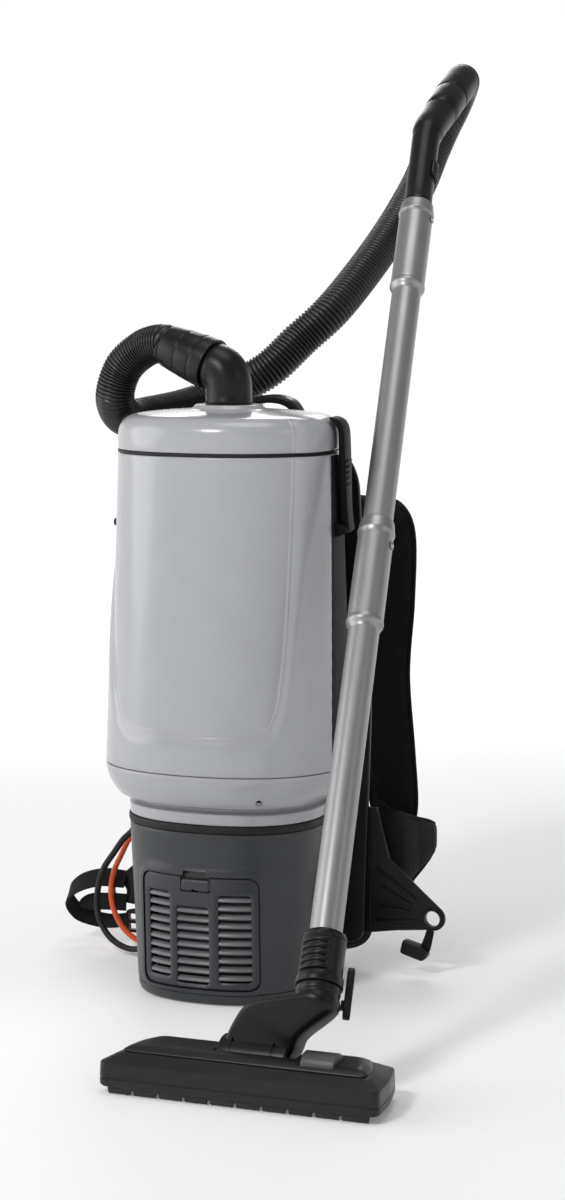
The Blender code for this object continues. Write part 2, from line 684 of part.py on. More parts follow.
def tube_profile(start, end):
    """Steel tube with a widened socket and a rolled lip at its upper end."""
    neck = end - SOCKET_LENGTH
    outer = [(start, TUBE_R), (neck - 0.006, TUBE_R), (neck, TUBE_R + 0.0034), (neck + 0.005, TUBE_R + 0.0026),
             (neck + 0.008, SOCKET_R), (end - 0.018, SOCKET_R), (end - 0.014, SOCKET_R + 0.0014),
             (end - 0.004, SOCKET_R + 0.0014), (end, SOCKET_R)]
    bore = TUBE_R - TUBE_WALL
    socket = TUBE_R + 0.0004
    inner = [(start, bore), (neck - 0.004, bore), (neck + 0.006, socket), (end, socket)]
    return outer + inner[::-1]


def button_place(end):
    side = Vector((0.927, 0.375, 0))
    side = (side - WAND_AXIS * side.dot(WAND_AXIS)).normalized()
    toward = WAND_AXIS.cross(side)
    if toward.y > 0:
        toward = -toward
    return wand_at(end - 0.030), (side * 0.94 + toward * 0.34).normalized()


def make_wand():
    start = -CUFF_DEPTH + 0.012
    lower = turned("lower_tube", WAND_LOW, WAND_AXIS, tube_profile(start, LOWER_SOCKET_TOP), "wand_steel", 16,
                   hole=True)
    upper = turned("upper_tube", WAND_LOW, WAND_AXIS,
                   tube_profile(LOWER_SOCKET_TOP - TUBE_OVERLAP, WAND_LENGTH), "wand_steel", 16, hole=True)
    handle = make_handle()
    for name, outer, inner, end in (("lower_button", lower, upper, LOWER_SOCKET_TOP),
                                    ("upper_button", upper, handle, WAND_LENGTH)):
        place, side = button_place(end)
        tool = turned("tool_" + name, place, side, [(0.0100, 0.0036), (0.0260, 0.0036)], None, 12)
        boolean(outer, tool)
        boolean(inner, tool)
        turned(name, place, side, [(0.0128, 0.0032), (0.0196, 0.0032), (0.0208, 0.0018)], "zinc", 12)


def make_handle():
    top = WAND_HIGH + WAND_AXIS * HANDLE_STRAIGHT
    places, axes, radii, bores = [], [], [], []

    def station(place, axis, radius, bore):
        places.append(place)
        axes.append(axis)
        radii.append(radius)
        bores.append(bore)

    for along, radius, bore in ((-HANDLE_PLUG, 0.0160, 0.0115), (HANDLE_STRAIGHT - 0.028, 0.0157, None)):
        station(WAND_HIGH + WAND_AXIS * along, WAND_AXIS, radius, bore)
    start, end = top - WAND_AXIS * 0.014, top + GRIP_DIRECTION * 0.014
    for i in range(4):
        t = i / 3
        place = start * (1 - t) ** 2 + top * 2 * t * (1 - t) + end * t * t
        axis = (WAND_AXIS * (1 - t) + GRIP_DIRECTION * t).normalized()
        station(place, axis, 0.0160 + 0.0018 * t, 0.0120)
    for along, radius, bore in ((0.050, 0.0192, None), (HANDLE_GRIP, 0.0202, 0.0150)):
        station(top + GRIP_DIRECTION * along, GRIP_DIRECTION, radius, bore)
    handle = swept("wand_handle", places, axes, radii, bores, "black_plastic", 16)

    places, axes = bend_route()
    swept("handle_cuff", places, axes, [0.0206] * len(places), [0.0150] * len(places), "black_plastic", 14)
    make_air_slider()
    return handle


def make_air_slider():
    """A sliding shoe over the air vent, on the handle's straight part, facing outward."""
    side, toward = Vector((0.927, 0.375, 0)), WAND_AXIS
    side = (side - toward * side.dot(toward)).normalized()
    front = toward.cross(side)
    steps = 8
    rings = []
    for along, extra in ((0.030, 0.0006), (0.032, 0.0024), (0.050, 0.0024), (0.052, 0.0006)):
        base = WAND_HIGH + WAND_AXIS * along
        outer, inner = [], []
        for i in range(steps + 1):
            angle = radians(-48 + 96 * i / steps)
            ray = side * cos(angle) + front * sin(angle)
            outer.append(base + ray * (0.0168 + extra))
            inner.append(base + ray * 0.0165)
        rings.append(outer + inner[::-1])
    loft("air_slider", rings, "black_plastic")


# ---- floor nozzle ----------------------------------------------------------------------------
def make_neck():
    swivel = wand_at(-CUFF_DEPTH - GAP)
    rings = []
    sections = ((Vector((0.1870, -0.3680, 0.0360)), (0.02, 0.25, 0.97), 0.0335, 0.0180, 5.0),
                (Vector((0.1960, -0.3640, 0.0560)), (0.30, 0.22, 0.93), 0.0320, 0.0195, 4.5),
                (Vector((0.2090, -0.3610, 0.0740)), (0.42, 0.28, 0.86), 0.0285, 0.0205, 3.6),
                (swivel - WAND_AXIS * 0.016 + Vector((-0.0030, 0, -0.0010)), (0.20, 0.45, 0.86), 0.0235, 0.0212, 2.4),
                (swivel - WAND_AXIS * 0.007, tuple(WAND_AXIS), 0.0215, 0.0215, 2.0),
                (swivel, tuple(WAND_AXIS), 0.0215, 0.0215, 2.0))
    for centre, axis, half, depth, power in sections:
        axis = Vector(axis).normalized()
        side = Vector((1, 0, 0))
        side = (side - axis * side.dot(axis)).normalized()
        back = axis.cross(side)
        ring = []
        for i in range(20):
            x, y = plan_point(2 * pi * i / 20, half, depth, depth, power)
            ring.append(centre + side * x + back * y)
        rings.append(ring)
    neck = loft("neck", rings, "black_plastic")
    start = PIVOT - Vector((BARREL_HALF, 0, 0))
    barrel = turned("tool_barrel", start, (1, 0, 0), [(0, BARREL_R), (2 * BARREL_HALF, BARREL_R)], None, 24)
    boolean(neck, barrel, "UNION")
    bore = turned("tool_neck_bore", swivel - WAND_AXIS * 0.020, WAND_AXIS, [(0, 0.0165), (0.03, 0.0165)], None, 20)
    boolean(neck, bore)

    low = wand_at(-CUFF_DEPTH)
    profile = [(-0.018, 0.0160), (-0.0002, 0.0160), (0, 0.0232), (0.010, 0.0228), (0.0125, 0.0216),
               (0.0470, 0.0216), (0.0508, 0.0205), (CUFF_DEPTH, 0.0196)]
    bore = TUBE_R + 0.0004
    profile += [(CUFF_DEPTH, bore), (0.0115, bore), (0.0115, 0.0135), (-0.018, 0.0135)]
    turned("floor_cuff", low, WAND_AXIS, profile, "black_plastic", 16, hole=True)
    make_hook(swivel)


def make_hook(swivel):
    """Flat parking bar, carried on a lug beside the neck's top."""
    side = Vector((0.927, 0.375, 0))
    side = (side - WAND_AXIS * side.dot(WAND_AXIS)).normalized()
    rear = WAND_AXIS.cross(side)
    if rear.y < 0:
        rear = -rear
    rings = []
    for along in (-0.024, 0.028):
        base = swivel + WAND_AXIS * along
        rings.append([base + side * u + rear * v for u, v in ((0.0250, 0.004), (0.0325, 0.004), (0.0325, 0.013),
                                                              (0.0250, 0.013))])
    bar = loft("parking_hook", rings, "black_plastic")
    lug = []
    for along in (-0.0155, -0.0065):
        base = swivel + WAND_AXIS * along
        lug.append([base + side * u + rear * v for u, v in ((0.0228, 0.006), (0.0270, 0.006), (0.0270, 0.011),
                                                            (0.0228, 0.011))])
    boolean(bar, loft("tool_hook_lug", lug, None), "UNION")


def nozzle_outline(inset, back_inset=0.0):
    left, right = NOZZLE_X - NOZZLE_HALF + inset, NOZZLE_X + NOZZLE_HALF - inset
    front, back = NOZZLE_FRONT + inset, NOZZLE_BACK - inset - back_inset
    corners = [(left, front), (right, front), (right - 0.0040, (front + back) / 2), (right - 0.0150, back),
               (left + 0.0150, back), (left + 0.0040, (front + back) / 2)]
    return rounded_outline(corners, 0.011, 3)


def nozzle_ring(z, inset, back_inset=0.0, centre_lift=0.0):
    return [(p[0], p[1], z + centre_lift) for p in nozzle_outline(inset, back_inset)]


def make_nozzle():
    rings = [nozzle_ring(SOLE, 0.0015), nozzle_ring(0.0100, 0.0), nozzle_ring(0.0310, 0.0008),
             nozzle_ring(0.0345, 0.0040), nozzle_ring(COVER_SPLIT, 0.0170)]
    body = loft("nozzle_body", rings, "black_plastic")
    cover_rings = [nozzle_ring(COVER_SPLIT + GAP, 0.0175), nozzle_ring(0.0430, 0.0250),
                   nozzle_ring(0.0452, 0.0340)]
    cover = loft("nozzle_cover", cover_rings, "black_plastic")

    half = BARREL_HALF + 0.0008
    pocket = turned("tool_pocket", PIVOT - Vector((half, 0, 0)), (1, 0, 0),
                    [(0, BARREL_R + 0.0007), (2 * half, BARREL_R + 0.0007)], None, 24)
    rear = box("tool_rear_notch", (NOZZLE_X - half - 0.0006, PIVOT.y - 0.0235, 0.0125),
               (NOZZLE_X + half + 0.0120, -0.30, 0.08), None)
    throat = box("tool_throat", (0.075, -0.4165, -0.01), (0.299, -0.3600, 0.0180), None)
    for piece in (body, cover):
        boolean(piece, pocket)
        boolean(piece, rear)
    boolean(body, throat)
    make_pedal(body, cover)
    make_brushes(body)
    make_sole(pocket)
    make_wheels(body)


def make_pedal(body, cover):
    pocket = turned("tool_pedal_pocket", PEDAL_AXIS - Vector((0.0007, 0, 0)), (1, 0, 0),
                    [(0, PEDAL_R + 0.0007), (2 * PEDAL_HALF + 0.0014, PEDAL_R + 0.0007)], None, 20)
    for piece in (body, cover):
        boolean(piece, pocket)
    turned("rocker_pedal", PEDAL_AXIS, (1, 0, 0),
           [(0, PEDAL_R - 0.001), (0.001, PEDAL_R), (2 * PEDAL_HALF - 0.001, PEDAL_R),
            (2 * PEDAL_HALF, PEDAL_R - 0.001)], "black_plastic", 20)


def make_brushes(body):
    for name, y in BRUSH_ROWS:
        half = BRUSH_HALF_X if name == "brush_front" else BRUSH_HALF_X - 0.042
        reach = half + 0.0006
        groove = box("tool_groove_" + name, (NOZZLE_X - reach, y - BRUSH_HALF_Y - 0.0005, -0.001),
                     (NOZZLE_X + reach, y + BRUSH_HALF_Y + 0.0005, BRUSH_TOP + BRUSH_TRAVEL + 0.0006), None)
        boolean(body, groove)
        strip = [(NOZZLE_X - half, BRUSH_TOP)]
        teeth = 10 if name == "brush_front" else 7
        pitch = 2 * half / teeth
        for i in range(teeth):
            left = NOZZLE_X - half + pitch * i
            strip += [(left, 0.0), (left + pitch - 0.0035, 0.0), (left + pitch - 0.0030, 0.0022),
                      (left + pitch, 0.0022)]
        strip.append((NOZZLE_X + half, BRUSH_TOP))
        slab(name, strip, y - BRUSH_HALF_Y, y + BRUSH_HALF_Y, "brush_hair")


def make_sole(pocket):
    outline = nozzle_outline(0.0120)
    sole = slab("sole_plate", outline, 0.0035, SOLE - GAP, "zinc", axis="Z")
    slot = rounded_outline([(NOZZLE_X - 0.105, -0.3980), (NOZZLE_X + 0.105, -0.3980),
                            (NOZZLE_X + 0.105, -0.3800), (NOZZLE_X - 0.105, -0.3800)], 0.004, 2)
    boolean(sole, slab("tool_slot", slot, -0.01, 0.02, None, axis="Z"))
    rear = BRUSH_ROWS[1][1]
    reach = BRUSH_HALF_X - 0.0410
    boolean(sole, box("tool_sole_groove", (NOZZLE_X - reach, rear - 0.0031, -0.01),
                      (NOZZLE_X + reach, rear + 0.0031, 0.02), None))
    for name, x in wheel_places():
        boolean(sole, box("tool_sole_" + name, (x - 0.0062, -0.3690, -0.01), (x + 0.0062, -0.3320, 0.02), None))


def wheel_places():
    return (("left", NOZZLE_X - 0.1060), ("right", NOZZLE_X + 0.1060))


def make_wheels(body):
    for name, x in wheel_places():
        centre = Vector((x, WHEEL_Y, WHEEL_R))
        boolean(body, box("tool_wheel_" + name, (x - 0.0058, WHEEL_Y - 0.0105, -0.001),
                          (x + 0.0058, WHEEL_Y + 0.0105, 0.0190), None))
        turned("wheel_" + name, centre - Vector((0.0045, 0, 0)), (1, 0, 0),
               [(0, 0.0020), (0, WHEEL_R - 0.001), (0.001, WHEEL_R), (0.008, WHEEL_R), (0.009, WHEEL_R - 0.001),
                (0.009, 0.0020)], "black_rubber", 16, hole=True)
        pin = turned("tool_pin_" + name, centre - Vector((0.0075, 0, 0)), (1, 0, 0), [(0, 0.0016), (0.0150, 0.0016)],
                     None, 10)
        boolean(body, pin, "UNION")


# ---- harness ---------------------------------------------------------------------------------
def make_frame_plate():
    corners = [(-0.112, 0.030), (0.112, 0.030), (0.120, 0.300), (0.104, 0.5600), (0.075, 0.6000),
               (-0.075, 0.6000), (-0.104, 0.5600), (-0.120, 0.300)]
    slab("back_plate", rounded_outline(corners, 0.020, 3), PLATE_Y, PLATE_Y + PLATE_THICK, "black_plastic")
    half = CARRY_HALF
    points = [(-half, PLATE_Y + 0.003, 0.6010), (-half, PLATE_Y + 0.004, 0.6170),
              (-half * 0.62, PLATE_Y + 0.006, 0.6350), (0.0, PLATE_Y + 0.007, 0.6400),
              (half * 0.62, PLATE_Y + 0.006, 0.6350), (half, PLATE_Y + 0.004, 0.6170),
              (half, PLATE_Y + 0.003, 0.6010)]
    ribbon("carry_handle", points, [(0, 1, 0)] * 7, [0.010, 0.013, 0.018, 0.020, 0.018, 0.013, 0.010], 0.008,
           "black_plastic", 3)


def bracket_outline():
    """Hip bracket, right half then its mirror: a wide plate with an arm out to each belt ring."""
    right = [(0.105, 0.0400), (0.150, 0.0470), (0.186, 0.0505)]
    right += arc((0.1920, 0.0640), 0.0140, -100, 45, 6)
    right += [(0.1760, 0.0960), (0.1400, 0.1280), (0.1250, 0.1850)]
    left = [(-x, z) for x, z in reversed(right)]
    return right + left


def make_bracket():
    low = PLATE_Y + PLATE_THICK + GAP
    high = PAD_Y - GAP
    bracket = slab("hip_bracket", bracket_outline(), low, high, "black_plastic")
    for sign in (-1, 1):
        tool = turned("tool_ring_%s" % ("left" if sign < 0 else "right"), (sign * 0.1920, low - 0.01, 0.0640),
                      (0, 1, 0), [(0, 0.0085), (0.03, 0.0085)], None, 16)
        boolean(bracket, tool)


def pad(name, corners, low, high, radius, bevel):
    return slab(name, rounded_outline(corners, radius, 4), low, high, "pad_fabric", bevel=bevel, segments=2)


def make_pads():
    pad("back_pad", [(-0.090, 0.2000), (0.090, 0.2000), (0.098, 0.4200), (0.098, 0.5480), (-0.098, 0.5480),
                     (-0.098, 0.4200)], PAD_Y, PAD_Y + 0.024, 0.030, 0.007)
    pad("lumbar_pad", [(-0.070, 0.0060), (0.070, 0.0060), (0.1200, 0.0220), (0.1200, 0.1930), (-0.1200, 0.1930),
                       (-0.1200, 0.0220)], PAD_Y, PAD_Y + 0.030, 0.030, 0.008)
    for sign, name in ((-1, "left"), (1, "right")):
        points = [(sign * 0.1238, PAD_Y + 0.016, 0.1080), (sign * 0.1400, 0.154, 0.1080),
                  (sign * 0.1560, 0.190, 0.1100), (sign * 0.1650, 0.225, 0.1120), (sign * 0.1680, 0.250, 0.1120)]
        ribbon("hip_wing_" + name, points, [(0, 0, 1)] * 5, [0.125, 0.105, 0.080, 0.060, 0.036], 0.016,
               "pad_fabric", 3)


def make_straps():
    for sign, name in ((-1, "left"), (1, "right")):
        top = PAD_Y + 0.0255
        points = [(sign * 0.0600, top + 0.0080, 0.4700), (sign * 0.0700, top + 0.0140, 0.5050),
                  (sign * 0.0860, top + 0.0420, 0.5220), (sign * 0.0980, top + 0.0750, 0.4900),
                  (sign * 0.0960, top + 0.0860, 0.4100), (sign * 0.0900, top + 0.0870, 0.3200),
                  (sign * 0.1010, top + 0.0780, 0.2300), (sign * 0.1140, top + 0.0600, 0.1650),
                  (sign * 0.1180, top + 0.0520, 0.1400)]
        widths = [0.060, 0.064, 0.066, 0.066, 0.064, 0.064, 0.062, 0.056, 0.030]
        strap = ribbon("shoulder_strap_" + name, points, [(1, 0, 0)] * 9, widths, 0.013, "pad_fabric", 3)
        web = [(sign * 0.1160, top + 0.0560, 0.1500), (sign * 0.1100, top + 0.0380, 0.1100),
               (sign * 0.1020, top + 0.0200, 0.0700), (sign * 0.0980, PAD_Y + 0.0340, 0.0450)]
        tool = ribbon("tool_strap_web_" + name, web, [(1, 0, 0.1)] * 4, [0.025] * 4, 0.0018, None, 3)
        boolean(strap, tool, "UNION")


def make_belt():
    """Loose left webbing with its pointed tail, ladder buckle, and the right side's short buckle."""
    y = PLATE_Y + 0.0036
    loop = [(-0.1840, y, 0.0790), (-0.2120, y - 0.004, 0.0800), (-0.2400, y - 0.006, 0.0710),
            (-0.2560, y - 0.003, 0.0540), (-0.2500, y + 0.008, 0.0340), (-0.2300, y + 0.013, 0.0260),
            (-0.2080, y + 0.012, 0.0250), (-0.1830, y + 0.008, 0.0300)]
    widths = [0.021, 0.022, 0.023, 0.023, 0.022, 0.021, 0.020, 0.020]
    ribbon("belt_web_left", loop, [(0, 0.05, 1)] * 8, widths, 0.0018, "webbing", 3)
    tail = [(-0.1830, y - 0.0010, 0.0520), (-0.2050, y - 0.0015, 0.0515), (-0.2280, y, 0.0490), (-0.2440, y, 0.0450)]
    ribbon("belt_tail_left", tail, [(0, 0.1, 1)] * 4, [0.0200, 0.0200, 0.0190, 0.0020], 0.0018, "webbing", 3)
    ladder = slab("buckle_left", rounded_outline([(-0.1815, 0.0180), (-0.1560, 0.0180), (-0.1560, 0.0440),
                                                  (-0.1650, 0.0470), (-0.1815, 0.0440)], 0.004, 2),
                  y - 0.0060, y + 0.0012, "black_plastic")
    for low in (0.0215, 0.0330):
        boolean(ladder, box("tool_ladder_%d" % round(low * 1e4), (-0.1780, 0.08, low), (-0.1600, 0.16, low + 0.0075),
                            None))
    buckle = rounded_outline([(0.1560, 0.0240), (0.1830, 0.0160), (0.1900, 0.0240), (0.1850, 0.0330),
                              (0.1600, 0.0400)], 0.003, 2)
    male = slab("buckle_right", buckle, PLATE_Y - 0.004, PLATE_Y + 0.008, "black_plastic", bevel=0.0015)
    web = [(0.1840, PLATE_Y + 0.0025, 0.0280), (0.1890, PLATE_Y + 0.0005, 0.0420),
           (0.1915, PLATE_Y + 0.0012, 0.0520)]
    boolean(male, ribbon("tool_belt_web", web, [(1, 0, 0)] * 3, [0.012, 0.010, 0.009], 0.0018, None, 2), "UNION")


# ---- switch box and cables -------------------------------------------------------------------
def make_switch_box():
    case = box("switch_box", BOX_LOW, BOX_HIGH, "black_plastic", 0.002)
    recess = box("tool_rocker", (-0.1430, BOX_LOW.y - 0.01, 0.1440), (-0.1270, BOX_LOW.y + 0.0080, 0.1660), None)
    boolean(case, recess)
    centre_y = BOX_LOW.y + 0.0025
    bm = bmesh.new()
    profile = [(centre_y - 0.0045, 0.1452), (centre_y - 0.0022, 0.1550), (centre_y - 0.0045, 0.1648),
               (centre_y + 0.0030, 0.1630), (centre_y + 0.0030, 0.1470)]
    rings = [[bm.verts.new((x, p[0], p[1])) for p in profile] for x in (-0.1424, -0.1276)]
    bridge(bm, rings[0], rings[1])
    bm.faces.new(reversed(rings[0]))
    bm.faces.new(rings[1])
    add_mesh("rocker_switch", bm, "black_plastic")

    boot = turned("tool_boot", PIGTAIL_EXIT - CABLE_TILT * 0.004, CABLE_TILT,
                  [(0, 0.0052), (0.0185, 0.0052), (0.0205, 0.0044), (0.0045 + 0.004 + BOOT_LENGTH, 0.0040)], None, 12)
    boolean(case, boot, "UNION")
    turned("lead_connector", LEAD_EXIT + CABLE_TILT * 0.0055, CABLE_TILT,
           [(0, 0.0055), (0.010, 0.0055), (0.013, 0.0044), (BOOT_LENGTH - 0.001, 0.0040)], "black_plastic", 12)


def make_cables():
    start = PIGTAIL_EXIT + CABLE_TILT * (0.0045 + BOOT_LENGTH + GAP)
    end = GLAND_PLACE + GLAND_DIRECTION * (0.0200 + GAP)
    pigtail = [start, start + CABLE_TILT * 0.010, Vector((-0.1880, 0.1010, 0.1150)), Vector((-0.2015, 0.0980, 0.0930)),
               Vector((-0.2075, 0.0950, 0.0640)), Vector((-0.2030, 0.0910, 0.0380)),
               Vector((-0.1870, 0.0870, 0.0170)), Vector((-0.1620, 0.0830, 0.0075)),
               Vector((-0.1330, 0.0720, 0.0140)), end + GLAND_DIRECTION * 0.009, end]
    cord_tube("pigtail", pigtail, PIGTAIL_R, 0.009, "black_rubber")
    turned("cable_gland", GLAND_PLACE, GLAND_DIRECTION, [(0, 0.0090), (0.005, 0.0090), (0.006, 0.0065),
                                                         (0.020, 0.0045)], "black_rubber", 14)

    start = LEAD_EXIT + CABLE_TILT * (0.0045 + BOOT_LENGTH + GAP)
    lead = [start, start + CABLE_TILT * 0.010, Vector((-0.1860, 0.1165, 0.1100)), Vector((-0.1950, 0.1150, 0.0900)),
            Vector((-0.1985, 0.1130, 0.0660)), Vector((-0.1930, 0.1110, 0.0420)),
            Vector((-0.1790, 0.1100, 0.0215)), Vector((-0.1600, 0.1120, 0.0090)),
            Vector((-0.1450, 0.1230, LEAD_R + 0.0006)), Vector((-0.1390, 0.1450, LEAD_R + 0.0003)),
            Vector((-0.1480, 0.1850, LEAD_R + 0.0003)), Vector((-0.1780, 0.2300, LEAD_R + 0.0003))]
    cord_tube("mains_lead", lead + [lead_entry()], LEAD_R, 0.0085, "orange_cable")
    make_coil()
    make_plug()


def coil_radii():
    half = COIL_TURNS_ACROSS * COIL_PITCH / 2
    return COIL_MEAN_R - half, COIL_MEAN_R + half


def lead_entry():
    """Where the lead meets the coil, on its outer face at floor level."""
    outer = coil_radii()[1] + 0.0030
    angle = radians(228)
    return COIL_CENTRE + Vector((outer * cos(angle), outer * sin(angle), LEAD_R + 0.0003))


def make_coil():
    inner, outer = coil_radii()
    high = COIL_TURNS_HIGH * COIL_PITCH
    turned("lead_coil", COIL_CENTRE, (0, 0, 1),
           [(0, inner + 0.001), (0, outer - 0.001), (0.003, outer), (high - 0.003, outer), (high, outer - 0.002),
            (high, inner + 0.002)], "orange_cable", 24, hole=True)


def make_plug():
    """The plug lies on the coil's top turns, in line with them."""
    rest = COIL_TURNS_HIGH * COIL_PITCH + PLUG_R + GAP
    place = COIL_CENTRE + Vector((0.0, COIL_MEAN_R, rest))
    turned("mains_plug", place, (1, 0, 0), [(-0.030, 0.0045), (-0.006, 0.0085), (-0.002, 0.0165), (0.003, PLUG_R),
                                            (0.017, PLUG_R), (0.018, 0.0165)], "black_plastic", 16)


def main():
    clear_scene()
    make_base()
    make_motor()
    tank = make_tank()
    make_filters()
    make_clip(1, "right", tank)
    make_clip(-1, "left", tank)
    make_elbow()
    make_hose()
    make_wand()
    make_neck()
    make_nozzle()
    make_frame_plate()
    make_bracket()
    make_pads()
    make_straps()
    make_belt()
    make_switch_box()
    make_cables()


main()
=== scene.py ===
"""Looks of the backpack vacuum cleaner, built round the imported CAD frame. Metres, +Z up."""

from math import atan2, cos, pi, radians, sin, sqrt

import bmesh
import bpy
import numpy as np
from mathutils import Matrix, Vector


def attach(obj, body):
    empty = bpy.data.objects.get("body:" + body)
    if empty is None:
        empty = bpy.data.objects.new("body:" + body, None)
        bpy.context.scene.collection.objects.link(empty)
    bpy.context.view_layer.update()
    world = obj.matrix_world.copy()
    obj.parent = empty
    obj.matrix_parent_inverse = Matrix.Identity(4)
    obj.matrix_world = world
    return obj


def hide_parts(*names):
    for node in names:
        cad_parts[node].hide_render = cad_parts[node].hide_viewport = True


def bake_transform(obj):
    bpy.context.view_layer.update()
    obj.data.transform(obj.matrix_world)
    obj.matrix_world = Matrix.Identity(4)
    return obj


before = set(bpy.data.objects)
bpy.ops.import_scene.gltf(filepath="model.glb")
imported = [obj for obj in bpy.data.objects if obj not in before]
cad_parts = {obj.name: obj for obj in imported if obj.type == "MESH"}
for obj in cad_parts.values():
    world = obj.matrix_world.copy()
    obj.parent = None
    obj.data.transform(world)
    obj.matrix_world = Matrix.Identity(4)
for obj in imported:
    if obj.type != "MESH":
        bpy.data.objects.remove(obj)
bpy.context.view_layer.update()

# ---- dimensions shared with the CAD source ----------------------------------------------------
GAP = 0.0004
POWER = 2.3                     # how square the tank's and base's ovals are
BASE_TOP = 0.1875
TANK_BOTTOM, TANK_TOP = 0.2524, 0.5885
LID_BOTTOM = 0.5925
PLATE_Y = 0.1190
PAD_Y = 0.1310
TUBE_R, SOCKET_R = 0.016, 0.01875
SOCKET_LENGTH = 0.125
WAND_LOW = Vector((0.238, -0.325, 0.148))
WAND_HIGH = Vector((0.132, 0.235, 0.860))
WAND_AXIS = (WAND_HIGH - WAND_LOW).normalized()
WAND_LENGTH = (WAND_HIGH - WAND_LOW).length
GRIP = Vector((-0.007, 0.887, 0.461)).normalized()
HANDLE_TOP = WAND_HIGH + WAND_AXIS * 0.100
GRIP_LENGTH = 0.095
ELBOW_CORNER = Vector((0, 0, 0.674))
CUFF_OUT = Vector((-0.93, 0.15, 0.33)).normalized()
HOSE_SPLIT = Vector((-0.0997, 0.1500, 0.6322))
LEAD_R, PIGTAIL_R = 0.00325, 0.0036
COIL_CENTRE = Vector((-0.150, 0.345, 0.0))
COIL_MEAN_R = 0.0585
COIL_PITCH = 0.0067
COIL_ACROSS, COIL_HIGH = 5, 5
UP = Vector((0, 0, 1))
ACROSS, ALONG_Y = (1, 0, 0), (0, 1, 0)
WAND_SIDE = Vector((0.927, 0.375, 0))   # the way the wand's buttons, slider and parking bar face


# ---- materials --------------------------------------------------------------------------------
def look(name, colour, rough, metal=0.0, mottle=0.10, blotch=25.0, grain=1400.0, bump=0.10, wear=0.07,
         sheen=0.0, coat=0.0, specular=0.5, weave=None, stretch=None):
    """A node material: mottled colour, uneven gloss, and a bump of grain, weave or drawn metal."""
    made = bpy.data.materials.new(name)
    made.use_nodes = True
    tree = made.node_tree
    shader = tree.nodes["Principled BSDF"]
    shader.inputs["Metallic"].default_value = metal
    shader.inputs["Coat Weight"].default_value = coat
    shader.inputs["Coat Roughness"].default_value = 0.12
    shader.inputs["Sheen Weight"].default_value = sheen
    shader.inputs["Specular IOR Level"].default_value = specular
    where = tree.nodes.new("ShaderNodeTexCoord").outputs["Object"]
    if stretch:
        turn = tree.nodes.new("ShaderNodeMapping")
        turn.vector_type = "POINT"
        turn.inputs["Rotation"].default_value = stretch[0]
        turn.inputs["Scale"].default_value = stretch[1]
        tree.links.new(where, turn.inputs["Vector"])
        where = turn.outputs["Vector"]

    def noise(scale, detail):
        node = tree.nodes.new("ShaderNodeTexNoise")
        node.inputs["Scale"].default_value = scale
        node.inputs["Detail"].default_value = detail
        tree.links.new(where, node.inputs["Vector"])
        return node.outputs["Fac"]

    ramp = tree.nodes.new("ShaderNodeValToRGB")
    ramp.color_ramp.elements[0].position = 0.3
    ramp.color_ramp.elements[1].position = 0.7
    for element, share in zip(ramp.color_ramp.elements, (1 - mottle, 1 + mottle)):
        element.color = (*[min(1.0, c * share) for c in colour], 1.0)
    tree.links.new(noise(blotch, 5.0), ramp.inputs["Fac"])
    tree.links.new(ramp.outputs["Color"], shader.inputs["Base Color"])

    gloss = tree.nodes.new("ShaderNodeMapRange")
    gloss.inputs["To Min"].default_value = max(0.03, rough - wear)
    gloss.inputs["To Max"].default_value = min(1.0, rough + wear)
    tree.links.new(noise(blotch * 3.1, 6.0), gloss.inputs["Value"])
    tree.links.new(gloss.outputs["Result"], shader.inputs["Roughness"])

    height = noise(grain, 2.0)
    if weave:
        waves = []
        for direction in ("X", "Z"):
            wave = tree.nodes.new("ShaderNodeTexWave")
            wave.bands_direction = direction
            wave.inputs["Scale"].default_value = weave
            wave.inputs["Distortion"].default_value = 0.6
            tree.links.new(where, wave.inputs["Vector"])
            waves.append(wave.outputs["Fac"])
        cross = tree.nodes.new("ShaderNodeMath")
        cross.operation = "MAXIMUM"
        tree.links.new(waves[0], cross.inputs[0])
        tree.links.new(waves[1], cross.inputs[1])
        add = tree.nodes.new("ShaderNodeMath")
        add.operation = "ADD"
        tree.links.new(cross.outputs[0], add.inputs[0])
        tree.links.new(height, add.inputs[1])
        height = add.outputs[0]
    relief = tree.nodes.new("ShaderNodeBump")
    relief.inputs["Strength"].default_value = bump
    relief.inputs["Distance"].default_value = 0.0006
    tree.links.new(height, relief.inputs["Height"])
    tree.links.new(relief.outputs["Normal"], shader.inputs["Normal"])
    return made


def along_wand():
    """Turns texture space so that its Z runs along the wand, for drawn marks along the tube."""
    return tuple(WAND_AXIS.rotation_difference(UP).to_euler())


